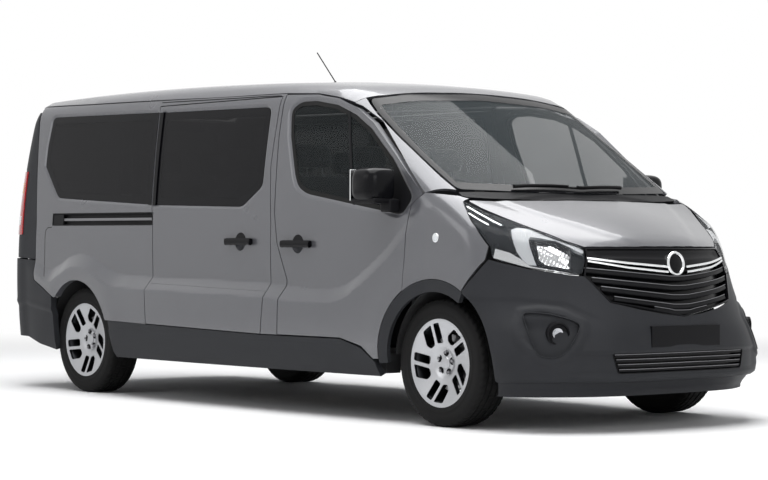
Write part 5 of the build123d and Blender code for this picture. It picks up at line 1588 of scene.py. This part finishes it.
def seat(name, x, y, z, width, places):
    """Cushion, leaning back, head restraints on posts, plastic base and back shell of one seat or bench."""
    count = len(places)
    seams = [width * (k / count - 0.5) for k in range(1, count)]
    first = cushion(f"{name}_cushion", (x, y, z + 64), (0, 1, 0), (0, 0, 1), (width - 12, 490, 120), 13, seams)
    lean = np.array((0, 178.0, 640.0)) / math.hypot(178, 640)
    face = np.array((0, -lean[2], lean[1]))
    middle = np.array((x, y + 240, z + 100)) + lean * 335
    cushion(f"{name}_back", middle, lean, face, (width - 16, 650, 96), 12, [-s for s in seams])
    shell = block(f"{name}_shell", (-width / 2 + 18, -300, -58), (width / 2 - 18, 300, -34), TRIM, 20)
    turn = np.stack([(1, 0, 0), lean, face], 1)
    co = np.array([v.co for v in shell.data.vertices]) @ turn.T + (middle + face * -4) / 1000
    shell.data.vertices.foreach_set("co", co.ravel())
    shell.data.update()
    half = 0.4 * width
    pieces = [shell, block(f"{name}_base", (x - half, y - 190, 372), (x + half, y + 200, z + 6), TRIM, 22)]
    for k, place in enumerate(places):
        cushion(f"{name}_head_{k}", (place, y + 424, z + 848), lean, face, (246, 146, 80), 7, ())
        for end in (-60, 60):
            low = np.array((place + end, y + 424, z + 848)) - lean * 140
            pieces.append(tube(f"{name}_post_{k}_{end + 60}", [low, low + lean * 90], 5.5, METAL_GREY, 10))
    show(pieces, "body")
    return first


SEAT_HEIGHT = 640
driver = seat("driver_seat", 480, -620, SEAT_HEIGHT, 500, [480])
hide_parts("front_seats")
seat("passenger_seats", -330, -620, SEAT_HEIGHT, 860, [-550, -130])
second = seat("bench_second", 0, 260, SEAT_HEIGHT, 1400, [-430, 0, 430])
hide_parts("rear_benches")
seat("bench_third", 0, 1130, SEAT_HEIGHT, 1180, [-430, 0, 430])
tell("seats")

# %% [markdown]
# ## Cabin front
# A steering wheel with three spokes, and vents, screen, dials and gear lever on the dashboard.


# %% Steering wheel and dashboard details
def facing(centre, normal):
    """Two unit axes across a normal: level, and uphill."""
    n = np.array(normal, float) / np.linalg.norm(normal)
    level = np.cross((0, 0, 1.0), n)
    level /= np.linalg.norm(level)
    return np.array(centre, float), n, level, np.cross(n, level)


hub, hub_axis, hub_x, hub_y = facing((480, -1010, 1045), (0, 0.82, 0.57))
WHEEL_R, GRIP_R = 176, 14
turn, section = np.radians(np.arange(0, 360, 5))[:, None], np.radians(np.arange(0, 360, 30))[None, :, None]
rim_line = hub + WHEEL_R * (np.cos(turn) * hub_x + np.sin(turn) * hub_y)
radial = (rim_line - hub) / WHEEL_R
rim_grid = (rim_line[:, None] + GRIP_R * np.cos(section) * radial[:, None]
            + GRIP_R * np.sin(section) * hub_axis)
rim = grid_mesh("wheel_rim", rim_grid / 1000, TRIM, True, True, False, 60)
spokes = [tube(f"wheel_spoke_{k}", [hub - 10 * hub_axis, hub + 100 * d - 6 * hub_axis, hub + 168 * d], 13, TRIM, 10)
          for k, d in enumerate((hub_x, -hub_x, -hub_y))]
pad = disc("wheel_pad", hub - 22 * hub_axis, hub_axis, [(70, 0), (76, 12), (70, 26), (50, 33), (2, 35)], TRIM, 48)
show([rim, *spokes, pad], "body", ["steering_wheel"])
parts = []
for k, x in enumerate((-690, -150, 150, 690)):
    parts.append(disc(f"vent_{k}", (x, -1150, 1070), (0, 0.9, 0.35), [(46, -8), (46, 10), (38, 12), (34, 2)],
                      GLOSS_BLACK, 36, ring=True))
    for row in (-20, 0, 20):
        parts.append(block(f"vent_slat_{k}_{row + 20}", (x - 34, -1152, 1068 + row), (x + 34, -1140, 1072 + row),
                           BLACK_PLASTIC, 1.5))
parts.append(block("screen", (-92, -1140, 900), (92, -1112, 1030), GLOSS_BLACK, 8))
parts.append(block("dial_binnacle", (330, -1300, 1120), (630, -1140, 1164), TRIM, 18))
parts.append(tube("gear_lever", [(0, -1175, 900), (0, -1120, 960), (0, -1105, 1000)], 9, METAL_GREY, 10))
parts.append(disc("gear_knob", (0, -1103, 1010), (0, 0.2, 1), [(10, -26), (20, -12), (23, 2), (19, 14), (2, 18)],
                  BLACK_PLASTIC, 28))
show(parts, "body")
tell("cabin")

# %% [markdown]
# ## Carried-over parts
# These CAD nodes show as they are, each in the finish of its real part.

# %% Finishes of the carried-over parts
KEPT = {
    "floor_pan": plastic("floor_mat", (0.030, 0.030, 0.031), 0.75, 350.0, 0.001),
    "inner_panels": TRIM_LIGHT, "dashboard": TRIM, "engine_block": CAST, "front_subframe": STEEL_BLACK,
    "rear_axle": STEEL_BLACK, "exhaust": metal("exhaust_steel", (0.28, 0.25, 0.22), 0.45, 90.0), "knuckle_left": CAST,
    "knuckle_right": CAST,
}
for node, material in KEPT.items():
    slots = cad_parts[node].material_slots
    for k in range(len(slots)):
        slots[k].material = material
    if not len(slots):
        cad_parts[node].data.materials.append(material)
print("carried over:", ", ".join(KEPT))


# %% [markdown]
# ## Studio
# A pale floor, a large soft light above, a weaker one at the front corner, and a plain white surround.

# %% World
world = bpy.data.worlds.new("studio")
bpy.context.scene.world = world
sky = Tree(world)
fill = sky.nodes["Background"]
sky.join(fill.inputs["Color"], (0.93, 0.95, 1.0))
sky.join(fill.inputs["Strength"], 0.22)
white = sky.node("ShaderNodeBackground", None, (1.0, 1.0, 1.0))
straight, mirrored_ray, through = (sky.node("ShaderNodeLightPath", output=ray)
                                   for ray in ("Is Camera Ray", "Is Glossy Ray", "Is Transmission Ray"))
seen = straight.math("MAXIMUM", mirrored_ray).math("MAXIMUM", through)
sky.between(seen, Value(sky, fill.outputs[0]), white, "World Output")
print("world strength:", round(fill.inputs["Strength"].default_value, 2))

# %% Floor and lamps
FLOOR_REACH = 60.0
pale = Recipe("studio_floor", Base_Color=(0.93, 0.93, 0.93))
pale.feed("Roughness", pale.noise(0.7, 2.0) * 0.1 + 0.8)
across, along, _ = pale.axes()
away = (across * across + along * along) ** 0.5
glow = pale.node("ShaderNodeEmission", None, (1.0, 1.0, 1.0))
pale.between(away.step(4.5, 11.0), Value(pale, pale.shader.outputs[0]), glow, "Material Output")
corners = [(x * FLOOR_REACH, y * FLOOR_REACH, 0) for x, y in ((-1, -1), (1, -1), (1, 1), (-1, 1))]
floor = new_mesh("studio_floor", corners, [(0, 1, 2, 3)], None, pale.material, smooth=False)


def aimed(name, data, place, towards, roll=0.0):
    """An object at place that looks along towards, rolled about that line."""
    made = linked(name, data)
    made.location = place
    made.rotation_euler = (towards.to_track_quat("-Z", "Y") @ Quaternion((0, 0, 1), roll)).to_euler()
    return made


for name, place, target, size, power in (
    ("light_top", (-0.5, -0.5, 7.5), (0, 0, 0), (7.0, 11.0), 1150),
    ("light_front", (-3.0, -10.5, 4.0), (0, -2.0, 0.8), (5.0, 3.0), 150),
    ("light_side", (-9.0, 2.5, 4.5), (0, 0.5, 0.9), (6.0, 3.0), 90),
):
    data = bpy.data.lights.new(name, "AREA")
    data.shape, data.size, data.size_y, data.energy = "RECTANGLE", *size, power
    aimed(name, data, place, Vector(target) - Vector(place))
print("lamps:", len(bpy.data.lights))

# %% Camera
HEADING, PITCH, ROLL = (math.radians(a) for a in (50.37, -0.01, 0.16))
view = bpy.data.cameras.new("camera")
view.sensor_width, view.lens, view.clip_end = 36.0, 106.2, 200.0
look = Vector((math.cos(HEADING), math.sin(HEADING), math.tan(PITCH)))
bpy.context.scene.camera = aimed("camera", view, (-8.808, -10.837, 0.995), look, ROLL)
bpy.context.scene.view_settings.view_transform = "Standard"
print("camera lens:", round(view.lens, 1), "mm")
